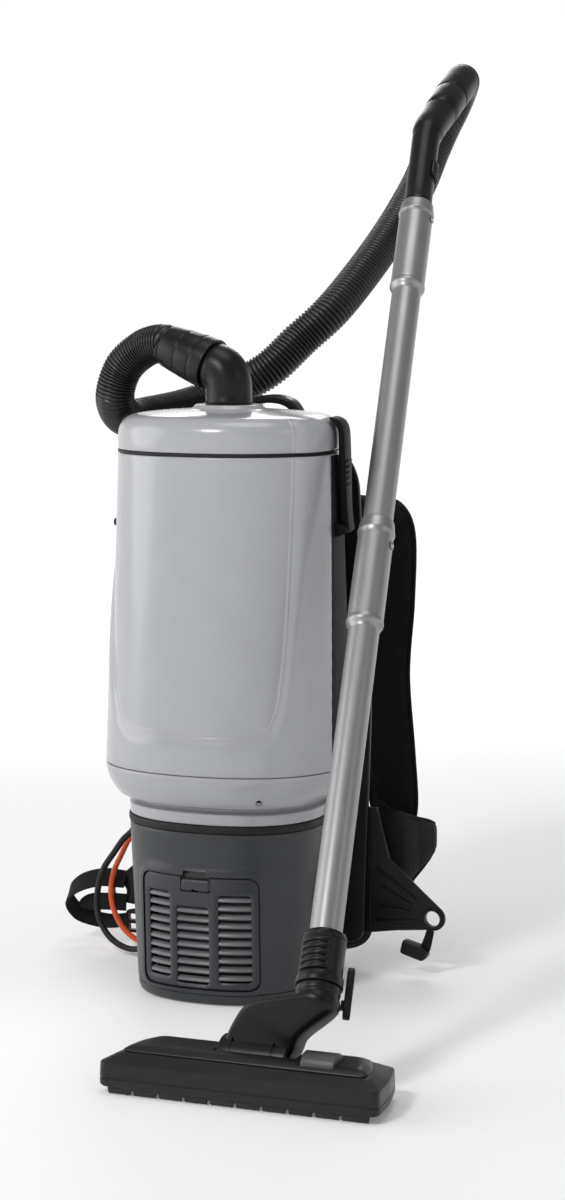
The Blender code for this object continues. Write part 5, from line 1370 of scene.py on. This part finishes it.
def make_neck():
    """The neck with its pivot barrel and its socket for the wand's cuff."""
    swivel, sections = neck_sections()
    rings = []
    for centre, axis, half, depth, power in sections:
        side = square_to(Vector(ACROSS), axis)
        back = axis.cross(side)
        rings.append([centre + side * x + back * y for x, y in
                      (plan_point(2 * pi * i / 64, half, depth, depth, power) for i in range(64))])
    neck = make("nozzle_neck", *skin(rings), "black_plastic", "neck", "neck", sharp=50)
    long = 2 * BARREL_HALF
    barrel = soften([(0, 0.0180), (0, BARREL_R), (long, BARREL_R), (long, 0.0180)], 0.0014, 3)
    cut(neck, turned(PIVOT - Vector((BARREL_HALF, 0, 0)), ACROSS, barrel, 72), operation="UNION")
    cut(neck, turned(swivel - WAND_AXIS * 0.020, WAND_AXIS, [(0, 0.0165), (0.03, 0.0165)], 48))
    arc = arc_band(BARREL_R + 0.002, BARREL_R - 0.0008, radians(20), radians(160))
    for middle in (-0.0215, 0.0215):
        ends = (NOZZLE_X + middle - 0.0011, NOZZLE_X + middle + 0.0011)
        cut(neck, skin([[Vector((x, PIVOT.y + r * cos(a), PIVOT.z + r * sin(a))) for a, r in arc] for x in ends]))
    make_hook(swivel)


def arc_band(outer, inner, start, end, steps=18):
    """(angle, radius) pairs round a curved band, out along one side and back along the other."""
    angles = [start + (end - start) * i / steps for i in range(steps + 1)]
    return [(a, outer) for a in angles] + [(a, inner) for a in reversed(angles)]


def make_hook(swivel):
    """The parking bar: an upright on a lug beside the swivel."""
    side = square_to(WAND_SIDE, WAND_AXIS)
    rear = WAND_AXIS.cross(side)
    if rear.y < 0:
        rear = -rear
    rings = []
    for reach, inset in ((-0.0240, 0.0012), (-0.0236, 0.0004), (-0.0226, 0.0), (0.0230, 0.0), (0.0262, 0.0004),
                         (0.0276, 0.0014), (0.0280, 0.0024)):
        base = swivel + WAND_AXIS * reach
        outline = rounded([(0.0250, 0.004), (0.0325, 0.004), (0.0325, 0.013), (0.0250, 0.013)], 0.0016, 3)
        rings.append([base + side * p[0] + rear * p[1] for p in shrink(outline, inset)])
    lug = []
    for reach in (-0.0155, -0.0065):
        base = swivel + WAND_AXIS * reach
        lug.append([base + side * u + rear * v for u, v in ((0.0222, 0.006), (0.0270, 0.006), (0.0270, 0.011),
                                                            (0.0222, 0.011))])
    make("parking_bar", *join(skin(rings), skin(lug)), "black_plastic", "neck", "parking_hook")


def nozzle_ring(z, inset):
    """The nozzle's plan at a height: straight along the front, tapered towards the back."""
    left, right = NOZZLE_X - NOZZLE_HALF + inset, NOZZLE_X + NOZZLE_HALF - inset
    front, back = NOZZLE_FRONT + inset, NOZZLE_BACK - inset
    corners = [(left, front), (right, front), (right - 0.0040, (front + back) / 2), (right - 0.0150, back),
               (left + 0.0150, back), (left + 0.0040, (front + back) / 2)]
    return [Vector((p[0], p[1], z)) for p in rounded(corners, max(0.003, 0.011 - inset * 0.2), 8)]


def x_cylinder(start, length, radius, steps=56):
    """A plain cylinder that runs across."""
    return turned(start, ACROSS, [(0, radius), (length, radius)], steps)


def solid_box(low, high):
    """A plain box between two corners."""
    (x0, y0, z0), (x1, y1, z1) = low, high
    return skin([[Vector((x, y, z)) for x, y in ((x0, y0), (x1, y0), (x1, y1), (x0, y1))] for z in (z0, z1)])


# Each row of bristles as (name, y, half length).
BRUSH_ROWS = (("brush_front", -0.4245, 0.1330), ("brush_rear", -0.3510, 0.0910))
WHEELS = (("wheel_left", NOZZLE_X - 0.1060), ("wheel_right", NOZZLE_X + 0.1060))
WHEEL_R, WHEEL_Y = 0.0085, -0.3500


def make_nozzle():
    """The nozzle's shell and cover, its wheel pins and its rocker pedal."""
    rows = [(0.0068, 0.0022), (0.0074, 0.0012), (0.0088, 0.0004), (0.0105, 0.0), (0.0148, 0.0001),
            (0.0153, 0.0007), (0.0163, 0.0007), (0.0168, 0.0001), (0.0240, 0.0003), (0.0300, 0.0006),
            (0.0307, 0.0009), (0.0312, 0.0018), (0.0328, 0.0052), (0.0345, 0.0086), (0.0362, 0.0120),
            (0.0374, 0.0146), (0.0382, 0.0162), (0.0385, 0.0174)]
    body = make("nozzle_shell", *skin([nozzle_ring(z, inset) for z, inset in rows]), "nozzle_black", "nozzle",
                "nozzle_body", sharp=30)
    rows = [(0.0389, 0.0186), (0.0394, 0.0180), (0.0404, 0.0186), (0.0418, 0.0208), (0.0432, 0.0238),
            (0.0441, 0.0262), (0.0446, 0.0282), (0.0448, 0.0306), (0.0449, 0.0336)]
    top = make("nozzle_top", *skin([nozzle_ring(z, inset) for z, inset in rows]), "nozzle_black", "nozzle",
               "nozzle_cover", sharp=42)
    half = BARREL_HALF + 0.0008
    pocket = x_cylinder(PIVOT - Vector((half, 0, 0)), 2 * half, BARREL_R + 0.0007, 72)
    rear = solid_box((NOZZLE_X - half - 0.0006, PIVOT.y - 0.0235, 0.0125), (NOZZLE_X + half + 0.0120, -0.30, 0.08))
    pedal_at = Vector((0.2440, -0.3930, 0.0385))
    pedal = x_cylinder(pedal_at - Vector((0.0008, 0, 0)), 0.0356, 0.0158)
    cut(top, pocket, rear, pedal)
    cut(body, pocket, rear, pedal, solid_box((0.075, -0.4165, -0.01), (0.299, -0.3600, 0.0180)))
    for _, y, reach in BRUSH_ROWS:
        reach += 0.0006
        cut(body, solid_box((NOZZLE_X - reach, y - 0.0029, -0.001), (NOZZLE_X + reach, y + 0.0029, 0.0161)))
    pins = []
    for _, x in WHEELS:
        cut(body, solid_box((x - 0.0058, WHEEL_Y - 0.0105, -0.001), (x + 0.0058, WHEEL_Y + 0.0105, 0.0190)))
        pins.append(x_cylinder((x - 0.0070, WHEEL_Y, WHEEL_R), 0.0140, 0.0016, 16))
    make("wheel_pins", *join(*pins), "zinc", "nozzle")
    profile = soften([(0, 0.0040), (0, 0.0150), (0.0340, 0.0150), (0.0340, 0.0040)], 0.0014, 3)
    make("pedal_roller", *turned(pedal_at, ACROSS, profile, 64), "pedal_grey", "pedal", "rocker_pedal")
    make_brushes()
    make_wheels()


def make_brushes():
    """Rubber-backed rows of tufts, cut into teeth along the front."""
    for name, y, half in BRUSH_ROWS:
        strip = rounded(box_outline(NOZZLE_X - half, 0.0044, NOZZLE_X + half, 0.0115), 0.0006, 2)
        parts = [slab(strip, y - 0.0024, y + 0.0024, edge=0.0004, steps=2)]
        teeth = 10 if name == "brush_front" else 7
        pitch = 2 * half / teeth
        for i in range(teeth):
            left = NOZZLE_X - half + pitch * i
            right = left + pitch - (0.0033 if i < teeth - 1 else 0.0)
            parts.append(slab(rounded(box_outline(left, 0.0014, right, 0.0090), 0.0012, 3), y - 0.0022, y + 0.0018,
                              edge=0.0006, steps=2))
            count = int((right - left) / 0.0026)
            for k in range(count):
                x = left + (right - left) * (k + 0.5) / count
                parts.append(turned((x, y, 0.0), UP, [(0, 0.0011), (0.0030, 0.0010)], 6))
        make(name + "_row", *join(*parts), "brush_hair", "brushes", name)


def make_wheels():
    """The two small wheels under the nozzle's back."""
    edge, groove_r = WHEEL_R - 0.0008, WHEEL_R - 0.0005
    profile = soften([(0, 0.0020), (0, edge), (0.0008, WHEEL_R), (0.0038, WHEEL_R), (0.0042, groove_r),
                      (0.0048, groove_r), (0.0052, WHEEL_R), (0.0082, WHEEL_R), (0.0090, edge), (0.0090, 0.0020)],
                     0.0003, 2)
    for name, x in WHEELS:
        make(name + "_tyre", *turned((x - 0.0045, WHEEL_Y, WHEEL_R), ACROSS, profile, 40, closed=True),
             "black_rubber", name, name)


make_elbow()
make_wand()
make_floor_cuff()
make_neck()
make_nozzle()


# ---- harness ----------------------------------------------------------------------------------
def make_plate():
    """The harness plate with its ribs, and the carrying grip on top."""
    corners = [(-0.112, 0.030), (0.112, 0.030), (0.120, 0.300), (0.104, 0.5600), (0.075, 0.6000),
               (-0.075, 0.6000), (-0.104, 0.5600), (-0.120, 0.300)]
    parts = [slab(rounded(corners, 0.020, 8), PLATE_Y, PLATE_Y + 0.006, edge=0.0016)]
    for x in (-0.085, -0.030, 0.030, 0.085):
        rib = rounded(box_outline(x - 0.0016, 0.060, x + 0.0016, 0.560), 0.0012, 2)
        parts.append(slab(rib, PLATE_Y + 0.0050, PLATE_Y + 0.0092, edge=0.0008, steps=2))
    make("harness_plate", *join(*parts), "black_plastic", "pack", "back_plate")

    half = 0.036
    left = [(-half, PLATE_Y + 0.003, 0.6010), (-half, PLATE_Y + 0.004, 0.6170),
            (-half * 0.62, PLATE_Y + 0.006, 0.6350)]
    points = left + [(0.0, PLATE_Y + 0.007, 0.6400)] + [(-x, y, z) for x, y, z in reversed(left)]
    widths = [0.012, 0.016, 0.024, 0.027, 0.024, 0.016, 0.012]
    make("carry_grip", *band(points, ALONG_Y, widths, 0.009, 10, 0.0030), "black_plastic", "pack", "carry_handle")


def strap_frames(points, direction, widths, steps):
    """Along a smooth route: each place, the ways across and square to the strap, and its half width."""
    route = catmull(points, steps)
    way = Vector(direction)
    sizes = catmull([(w, 0, 0) for w in widths], steps)
    for i, place in enumerate(route):
        ahead = route[min(i + 1, len(route) - 1)] - route[max(i - 1, 0)]
        across = (way - ahead * (way.dot(ahead) / ahead.dot(ahead))).normalized()
        yield place, across, across.cross(ahead).normalized(), sizes[i].x / 2


def band(points, direction, widths, thick, steps=8, edge=0.0006):
    """A flat strap with rounded edges along a smooth route."""
    outline = rounded([(-1, -1), (1, -1), (1, 1), (-1, 1)], 1.0, 4)
    rings = []
    for place, across, normal, half in strap_frames(points, direction, widths, steps):
        ring = []
        for p in outline:
            u = (half - edge) * (1 if p.x > 0 else -1) + edge * p.x
            v = (thick / 2 - edge) * (1 if p.y > 0 else -1) + edge * p.y
            ring.append(place + across * u + normal * v)
        rings.append(ring)
    return skin(rings)


def make_bracket():
    """The hip frame: a ribbed plate with an eye at each side."""
    right = [(0.105, 0.0400), (0.150, 0.0470), (0.186, 0.0505)]
    right += [(0.1920 + 0.0140 * cos(radians(a)), 0.0640 + 0.0140 * sin(radians(a))) for a in range(-100, 46, 12)]
    right += [(0.1760, 0.0960), (0.1400, 0.1280), (0.1250, 0.1850)]
    outline = right + [(-x, z) for x, z in reversed(right)]
    low, high = 0.1254, 0.1306
    parts = [slab([Vector(p) for p in outline], low, high, edge=0.0010)]
    ribs = (((0.118, 0.050), (0.120, 0.175)), ((0.125, 0.056), (0.176, 0.060)), ((0.126, 0.118), (0.172, 0.084)),
            ((0.130, 0.074), (0.164, 0.070)), ((0.130, 0.098), (0.166, 0.078)))
    for side in (-1, 1):
        for a, b in ribs:
            a, b = Vector(a), Vector(b)
            way = (b - a).normalized()
            square = Vector((-way.y, way.x)) * 0.0014
            rib = [Vector((p.x * side, p.y)) for p in (a - square, b - square, b + square, a + square)]
            if side < 0:
                rib.reverse()
            parts.append(slab(rounded(rib, 0.0012, 2), low - 0.0026, low + 0.0006, edge=0.0006, steps=2))
        eye = [(0, 0.0089), (0, 0.0112), (0.0006, 0.0118), (0.0030, 0.0118), (0.0030, 0.0089)]
        parts.append(turned((side * 0.1920, low - 0.0020, 0.0640), ALONG_Y, eye, 40, True))
    bracket = make("hip_frame", *join(*parts), "black_plastic", "pack", "hip_bracket")
    cut(bracket, *[turned((side * 0.1920, low - 0.01, 0.0640), ALONG_Y, [(0, 0.0088), (0.03, 0.0088)], 40)
                   for side in (-1, 1)])


def pad_outline(kind):
    """A pad's outline seen from behind."""
    right = {"back": [(0.090, 0.2000), (0.098, 0.4200), (0.098, 0.5480)],
             "lumbar": [(0.070, 0.0060), (0.1200, 0.0220), (0.1200, 0.1930)]}[kind]
    left = [(-x, z) for x, z in reversed(right)]
    return rounded(left[-1:] + right + left[:-1], 0.030, 8)


def swell(piece, cap, pressure=4.0):
    """Cloth pressure puffs the pad up. No point moves further than cap, and the plate side stays flat."""
    remesh = piece.modifiers.new("remesh", "REMESH")
    remesh.mode = "VOXEL"
    remesh.voxel_size = 0.0055
    apply_all(piece)
    start = np.array([v.co for v in piece.data.vertices])
    cloth = piece.modifiers.new("cloth", "CLOTH")
    cloth.settings.use_pressure = True
    cloth.settings.uniform_pressure_force = pressure
    cloth.settings.effector_weights.gravity = 0
    cloth.settings.quality = 5
    cloth.point_cache.frame_start, cloth.point_cache.frame_end = 1, 20
    for number in range(1, 21):
        bpy.context.scene.frame_set(number)
    apply_all(piece)
    bpy.context.scene.frame_set(1)
    done = np.array([v.co for v in piece.data.vertices])
    move = done - start
    size = np.linalg.norm(move, axis=1)
    move *= np.where(size > cap, cap / np.maximum(size, 1e-9), 1.0)[:, None]
    done = start + move
    done[:, 1] = np.maximum(done[:, 1], start[:, 1].min())
    piece.data.vertices.foreach_set("co", done.ravel())
    piece.data.update()


def groove(piece, lines, depth, width, keep_back):
    """Presses sewn lines into the side of a pad that faces the wearer."""
    co = np.array([v.co for v in piece.data.vertices])
    gap = np.full(len(co), 1.0)
    for line in lines:
        for (x0, z0), (x1, z1) in zip(line, line[1:]):
            a, b = np.array([x0, z0]), np.array([x1, z1])
            p = co[:, [0, 2]]
            t = np.clip(((p - a) @ (b - a)) / ((b - a) @ (b - a)), 0, 1)
            gap = np.minimum(gap, np.linalg.norm(p - (a + t[:, None] * (b - a)), axis=1))
    front = np.clip((co[:, 1] - keep_back) / 0.008, 0, 1)
    co[:, 1] -= depth * np.exp(-(gap / width) ** 2) * front
    piece.data.vertices.foreach_set("co", co.ravel())
    piece.data.update()


def rim_line(outline, inset):
    """A closed line inside a pad's edge."""
    line = [(p.x, p.y) for p in shrink(outline, inset)]
    return line + line[:1]


def piping(pad, outline, y, radius):
    """A corded edge that runs round a pad, laid on the pad's own rim."""
    route = [Vector((p.x, y, p.y)) for p in outline]
    route = even(route + route[:1], 0.005, 1)[:-1]
    inverse = pad.matrix_world.inverted()
    route = [pad.matrix_world @ pad.closest_point_on_mesh(inverse @ place)[1] for place in route]
    route = [(route[i - 1] + place * 2 + route[(i + 1) % len(route)]) / 4 for i, place in enumerate(route)]
    rings = []
    for i, place in enumerate(route):
        ahead = (route[(i + 1) % len(route)] - route[i - 1]).normalized()
        side = Vector(ALONG_Y)
        up = ahead.cross(side).normalized()
        rings.append([place + (side * cos(a) + up * sin(a)) * radius for a in (2 * pi * k / 8 for k in range(8))])
    return skin(rings, closed=True)


def make_pads():
    """The back and lumbar pads with their sewn lines and piping, and the hip wings."""
    for kind, thick, node in (("back", 0.024, "back_pad"), ("lumbar", 0.030, "lumbar_pad")):
        outline = pad_outline(kind)
        body = slab(shrink(outline, 0.0030), PAD_Y + 0.0006, PAD_Y + thick - 0.0035, edge=0.006, steps=4)
        piece = make(kind + "_cushion", *body, "pad_fabric", "pack", node, sharp=180)
        swell(piece, 0.0050)
        fine = piece.modifiers.new("fine", "SUBSURF")
        fine.levels = fine.render_levels = 1
        apply_all(piece)
        if kind == "back":
            lines = [[(0.0, 0.225), (0.0, 0.525)]]
            lines += [[(side * 0.072, z), (side * 0.010, z - 0.006)] for side in (-1, 1)
                      for z in (0.285, 0.355, 0.425, 0.490)]
        else:
            lines = [[(-0.045, 0.020), (-0.045, 0.180)], [(0.045, 0.020), (0.045, 0.180)]]
            lines += [[(-0.034, z), (0.034, z)] for z in (0.055, 0.100, 0.145)]
        lines.append(rim_line(outline, 0.012))
        groove(piece, lines, 0.0035, 0.0030, PAD_Y + 0.010)
        piece.data.shade_smooth()
        edge = piping(piece, shrink(outline, -0.004), PAD_Y + thick * 0.45, 0.0018)
        hang(make(kind + "_piping", *edge, "webbing", "pack"), piece)

    for sign, name in ((-1, "left"), (1, "right")):
        points = [(sign * 0.1238, PAD_Y + 0.016, 0.1260), (sign * 0.1400, 0.154, 0.1280),
                  (sign * 0.1480, 0.186, 0.1310), (sign * 0.1530, 0.215, 0.1330), (sign * 0.1550, 0.240, 0.1330)]
        form = cushion_band(points, UP, [0.130, 0.104, 0.074, 0.052, 0.034], 0.016, 10)
        wing = make("hip_cushion_" + name, *form, "pad_fabric", "pack", "hip_wing_" + name, sharp=60)


def cushion_band(points, direction, widths, thick, steps):
    """A padded strap: flat piped rims, a crowned middle, and rounded ends."""
    total = length_of(catmull(points, steps))
    section = [(-1.0, -0.22), (-0.97, -0.34), (-0.92, -0.30), (-0.88, -0.16), (-0.84, -0.34), (-0.74, -0.72),
               (-0.55, -0.94), (-0.25, -1.0), (0.0, -0.96)]
    under = section + [(-u, v) for u, v in reversed(section[:-1])]
    outline = under + [(-u, -v) for u, v in under]
    rings, travelled, last = [], 0.0, Vector(points[0])
    for place, across, normal, half in strap_frames(points, direction, widths, steps):
        travelled += (place - last).length
        last = place
        taper = min(1.0, 0.35 + min(travelled, total - travelled) / 0.030)
        ripple = 1 - 0.10 * (0.5 + 0.5 * cos(2 * pi * travelled / 0.052)) ** 6
        rings.append([place + across * u * half + normal * v * thick / 2 * taper * ripple for u, v in outline])
    return skin(rings)


WEB = 0.0018                    # the webbing's thickness


def make_straps():
    """The shoulder straps with the webbing and adjusters below them."""
    top = PAD_Y + 0.0255
    for sign, name in ((-1, "left"), (1, "right")):
        points = [(sign * 0.0600, top + 0.0080, 0.4700), (sign * 0.0700, top + 0.0140, 0.5050),
                  (sign * 0.0860, top + 0.0420, 0.5220), (sign * 0.0980, top + 0.0750, 0.4900),
                  (sign * 0.0960, top + 0.0860, 0.4100), (sign * 0.0900, top + 0.0870, 0.3200),
                  (sign * 0.1010, top + 0.0780, 0.2300), (sign * 0.1140, top + 0.0600, 0.1650),
                  (sign * 0.1180, top + 0.0520, 0.1400)]
        widths = [0.060, 0.064, 0.066, 0.066, 0.064, 0.064, 0.062, 0.056, 0.034]
        form = cushion_band(points, ACROSS, widths, 0.014, 9)
        strap = make("strap_" + name, *form, "pad_fabric", "pack", "shoulder_strap_" + name, sharp=60)
        web = [(sign * 0.1170, top + 0.0580, 0.1600), (sign * 0.1130, top + 0.0450, 0.1260),
               (sign * 0.1070, top + 0.0290, 0.0880), (sign * 0.1010, top + 0.0170, 0.0600),
               (sign * 0.0980, PAD_Y + 0.0340, 0.0450)]
        hang(make("strap_web_" + name, *band(web, (1, 0, 0.1), [0.025] * 5, WEB), "webbing", "pack"), strap)
        make_adjuster(Vector(web[1]), Vector((sign * 0.2, 0.55, 0.85)).normalized(), name)


def make_adjuster(centre, along_web, name):
    """A ladder buckle threaded on the lower webbing."""
    across = square_to(Vector(ACROSS), along_web)
    normal = across.cross(along_web)
    parts = []
    bar = [(0, 0.0014), (0.0006, 0.0019), (0.0304, 0.0019), (0.0310, 0.0014)]
    for reach in (-0.0100, 0.0, 0.0100):
        parts.append(turned(centre + along_web * reach - across * 0.0155 + normal * 0.0006, across, bar, 12))
    rail = [(0, 0.0016), (0.0008, 0.0022), (0.0216, 0.0022), (0.0224, 0.0016)]
    for side in (-0.0155, 0.0155):
        parts.append(turned(centre + across * side - along_web * 0.0112 + normal * 0.0006, along_web, rail, 12))
    make("adjuster_" + name, *join(*parts), "black_plastic", "pack")


def make_belt():
    """The belt's loop, tail and ladder on the left, and its buckle on the right."""
    y = PLATE_Y + 0.0036
    loop = [(-0.1840, y, 0.0790), (-0.2120, y - 0.004, 0.0800), (-0.2400, y - 0.006, 0.0710),
            (-0.2560, y - 0.003, 0.0540), (-0.2500, y + 0.008, 0.0340), (-0.2300, y + 0.013, 0.0260),
            (-0.2080, y + 0.012, 0.0250), (-0.1830, y + 0.008, 0.0300)]
    widths = [0.022, 0.023, 0.023, 0.021, 0.020, 0.019, 0.018, 0.018]
    make("belt_loop", *band(loop, (0, 0.75, 1), widths, WEB), "webbing", "pack", "belt_web_left")
    tail = [(-0.1830, y - 0.0010, 0.0520), (-0.2050, y - 0.0015, 0.0515), (-0.2280, y, 0.0490), (-0.2400, y, 0.0460),
            (-0.2440, y, 0.0450)]
    widths = [0.0200, 0.0200, 0.0190, 0.0110, 0.0030]
    make("belt_tail", *band(tail, (0, 0.1, 1), widths, WEB), "webbing", "pack", "belt_tail_left")
    outline = rounded([(-0.1815, 0.0180), (-0.1560, 0.0180), (-0.1560, 0.0440), (-0.1650, 0.0470), (-0.1815, 0.0440)],
                      0.004, 5)
    ladder = make("belt_ladder", *slab(outline, y - 0.0060, y + 0.0012, edge=0.0014), "black_plastic", "pack",
                  "buckle_left")
    cut(ladder, *[prism(rounded(box_outline(-0.1780, low, -0.1600, low + 0.0075), 0.0016, 4), 0.08, 0.16)
                  for low in (0.0215, 0.0330)])
    outline = rounded([(0.1560, 0.0240), (0.1830, 0.0160), (0.1900, 0.0240), (0.1850, 0.0330), (0.1600, 0.0400)],
                      0.004, 5)
    parts = [slab(outline, PLATE_Y - 0.004, PLATE_Y + 0.008, edge=0.0022)]
    for k in range(3):
        x = 0.1640 + 0.0052 * k
        bar = rounded(box_outline(x, 0.0255, x + 0.0022, 0.0335), 0.0008, 2)
        parts.append(slab(bar, PLATE_Y - 0.0046, PLATE_Y, edge=0.0005, steps=2))
    male = make("belt_buckle", *join(*parts), "black_plastic", "pack", "buckle_right")
    web = [(0.1800, PLATE_Y + 0.0030, 0.0240), (0.1850, PLATE_Y + 0.0022, 0.0310), (0.1890, PLATE_Y + 0.0008, 0.0420),
           (0.1915, PLATE_Y + 0.0012, 0.0520)]
    web = band(web, ACROSS, [0.012, 0.012, 0.010, 0.009], WEB)
    hang(make("belt_short_web", *web, "webbing", "pack"), male)


def make_switch_box():
    """The switch box with its rocker and the motor cable's boot."""
    low, high = Vector((-0.1500, 0.0950, 0.1250)), Vector((-0.1190, 0.1250, 0.1860))
    outline = rounded(box_outline(low.x, low.z, high.x, high.z), 0.004, 5)
    body = slab(outline, low.y, high.y, edge=0.0024, steps=4)
    start = PIGTAIL_EXIT - CABLE_TILT * 0.004
    profile = [(0, 0.0052), (0.0095, 0.0053)]
    profile += stepped(4, 0.0105, 0.0040, 0.0054, 0.0003, ((0.0022, 0.0001), (0.0026, 0.0009), (0.0036, 0.0010)))
    profile += [(0.0285, 0.0040)]
    case = make("switch_case", *body, "black_plastic", "pack", "switch_box")
    cut(case, solid_box((-0.1430, 0.0850, 0.1440), (-0.1270, 0.1030, 0.1660)))
    hang(make("pigtail_boot", *turned(start, CABLE_TILT, profile, 28), "black_rubber", "pack"), case)
    y = 0.0975
    profile = rounded([(y - 0.0045, 0.1452), (y - 0.0020, 0.1550), (y - 0.0045, 0.1648), (y + 0.0030, 0.1630),
                       (y + 0.0030, 0.1470)], 0.0010, 3)
    rings = []
    for x, inset in ((-0.1424, 0.0004), (-0.1420, 0.0), (-0.1280, 0.0), (-0.1276, 0.0004)):
        rings.append([Vector((x, p.x, p.y)) for p in shrink(profile, inset)])
    make("rocker_button", *skin(rings), "black_plastic", "rocker", "rocker_switch")


make_plate()
make_bracket()
make_pads()
make_straps()
make_belt()
make_switch_box()


# ---- finish -----------------------------------------------------------------------------------
# Inner pieces that keep their CAD solids, with the look of each.
INNER_SLOTS = {"motor_body": "motor_plastic", "fan_case": "fan_metal", "motor_filter": "foam",
               "exhaust_filter": "foam", "dust_bag": "filter_paper", "sole_plate": "zinc"}
for name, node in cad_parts.items():
    if not node.hide_render:
        node.data.materials.clear()
        node.data.materials.append(LOOKS[INNER_SLOTS[name]])
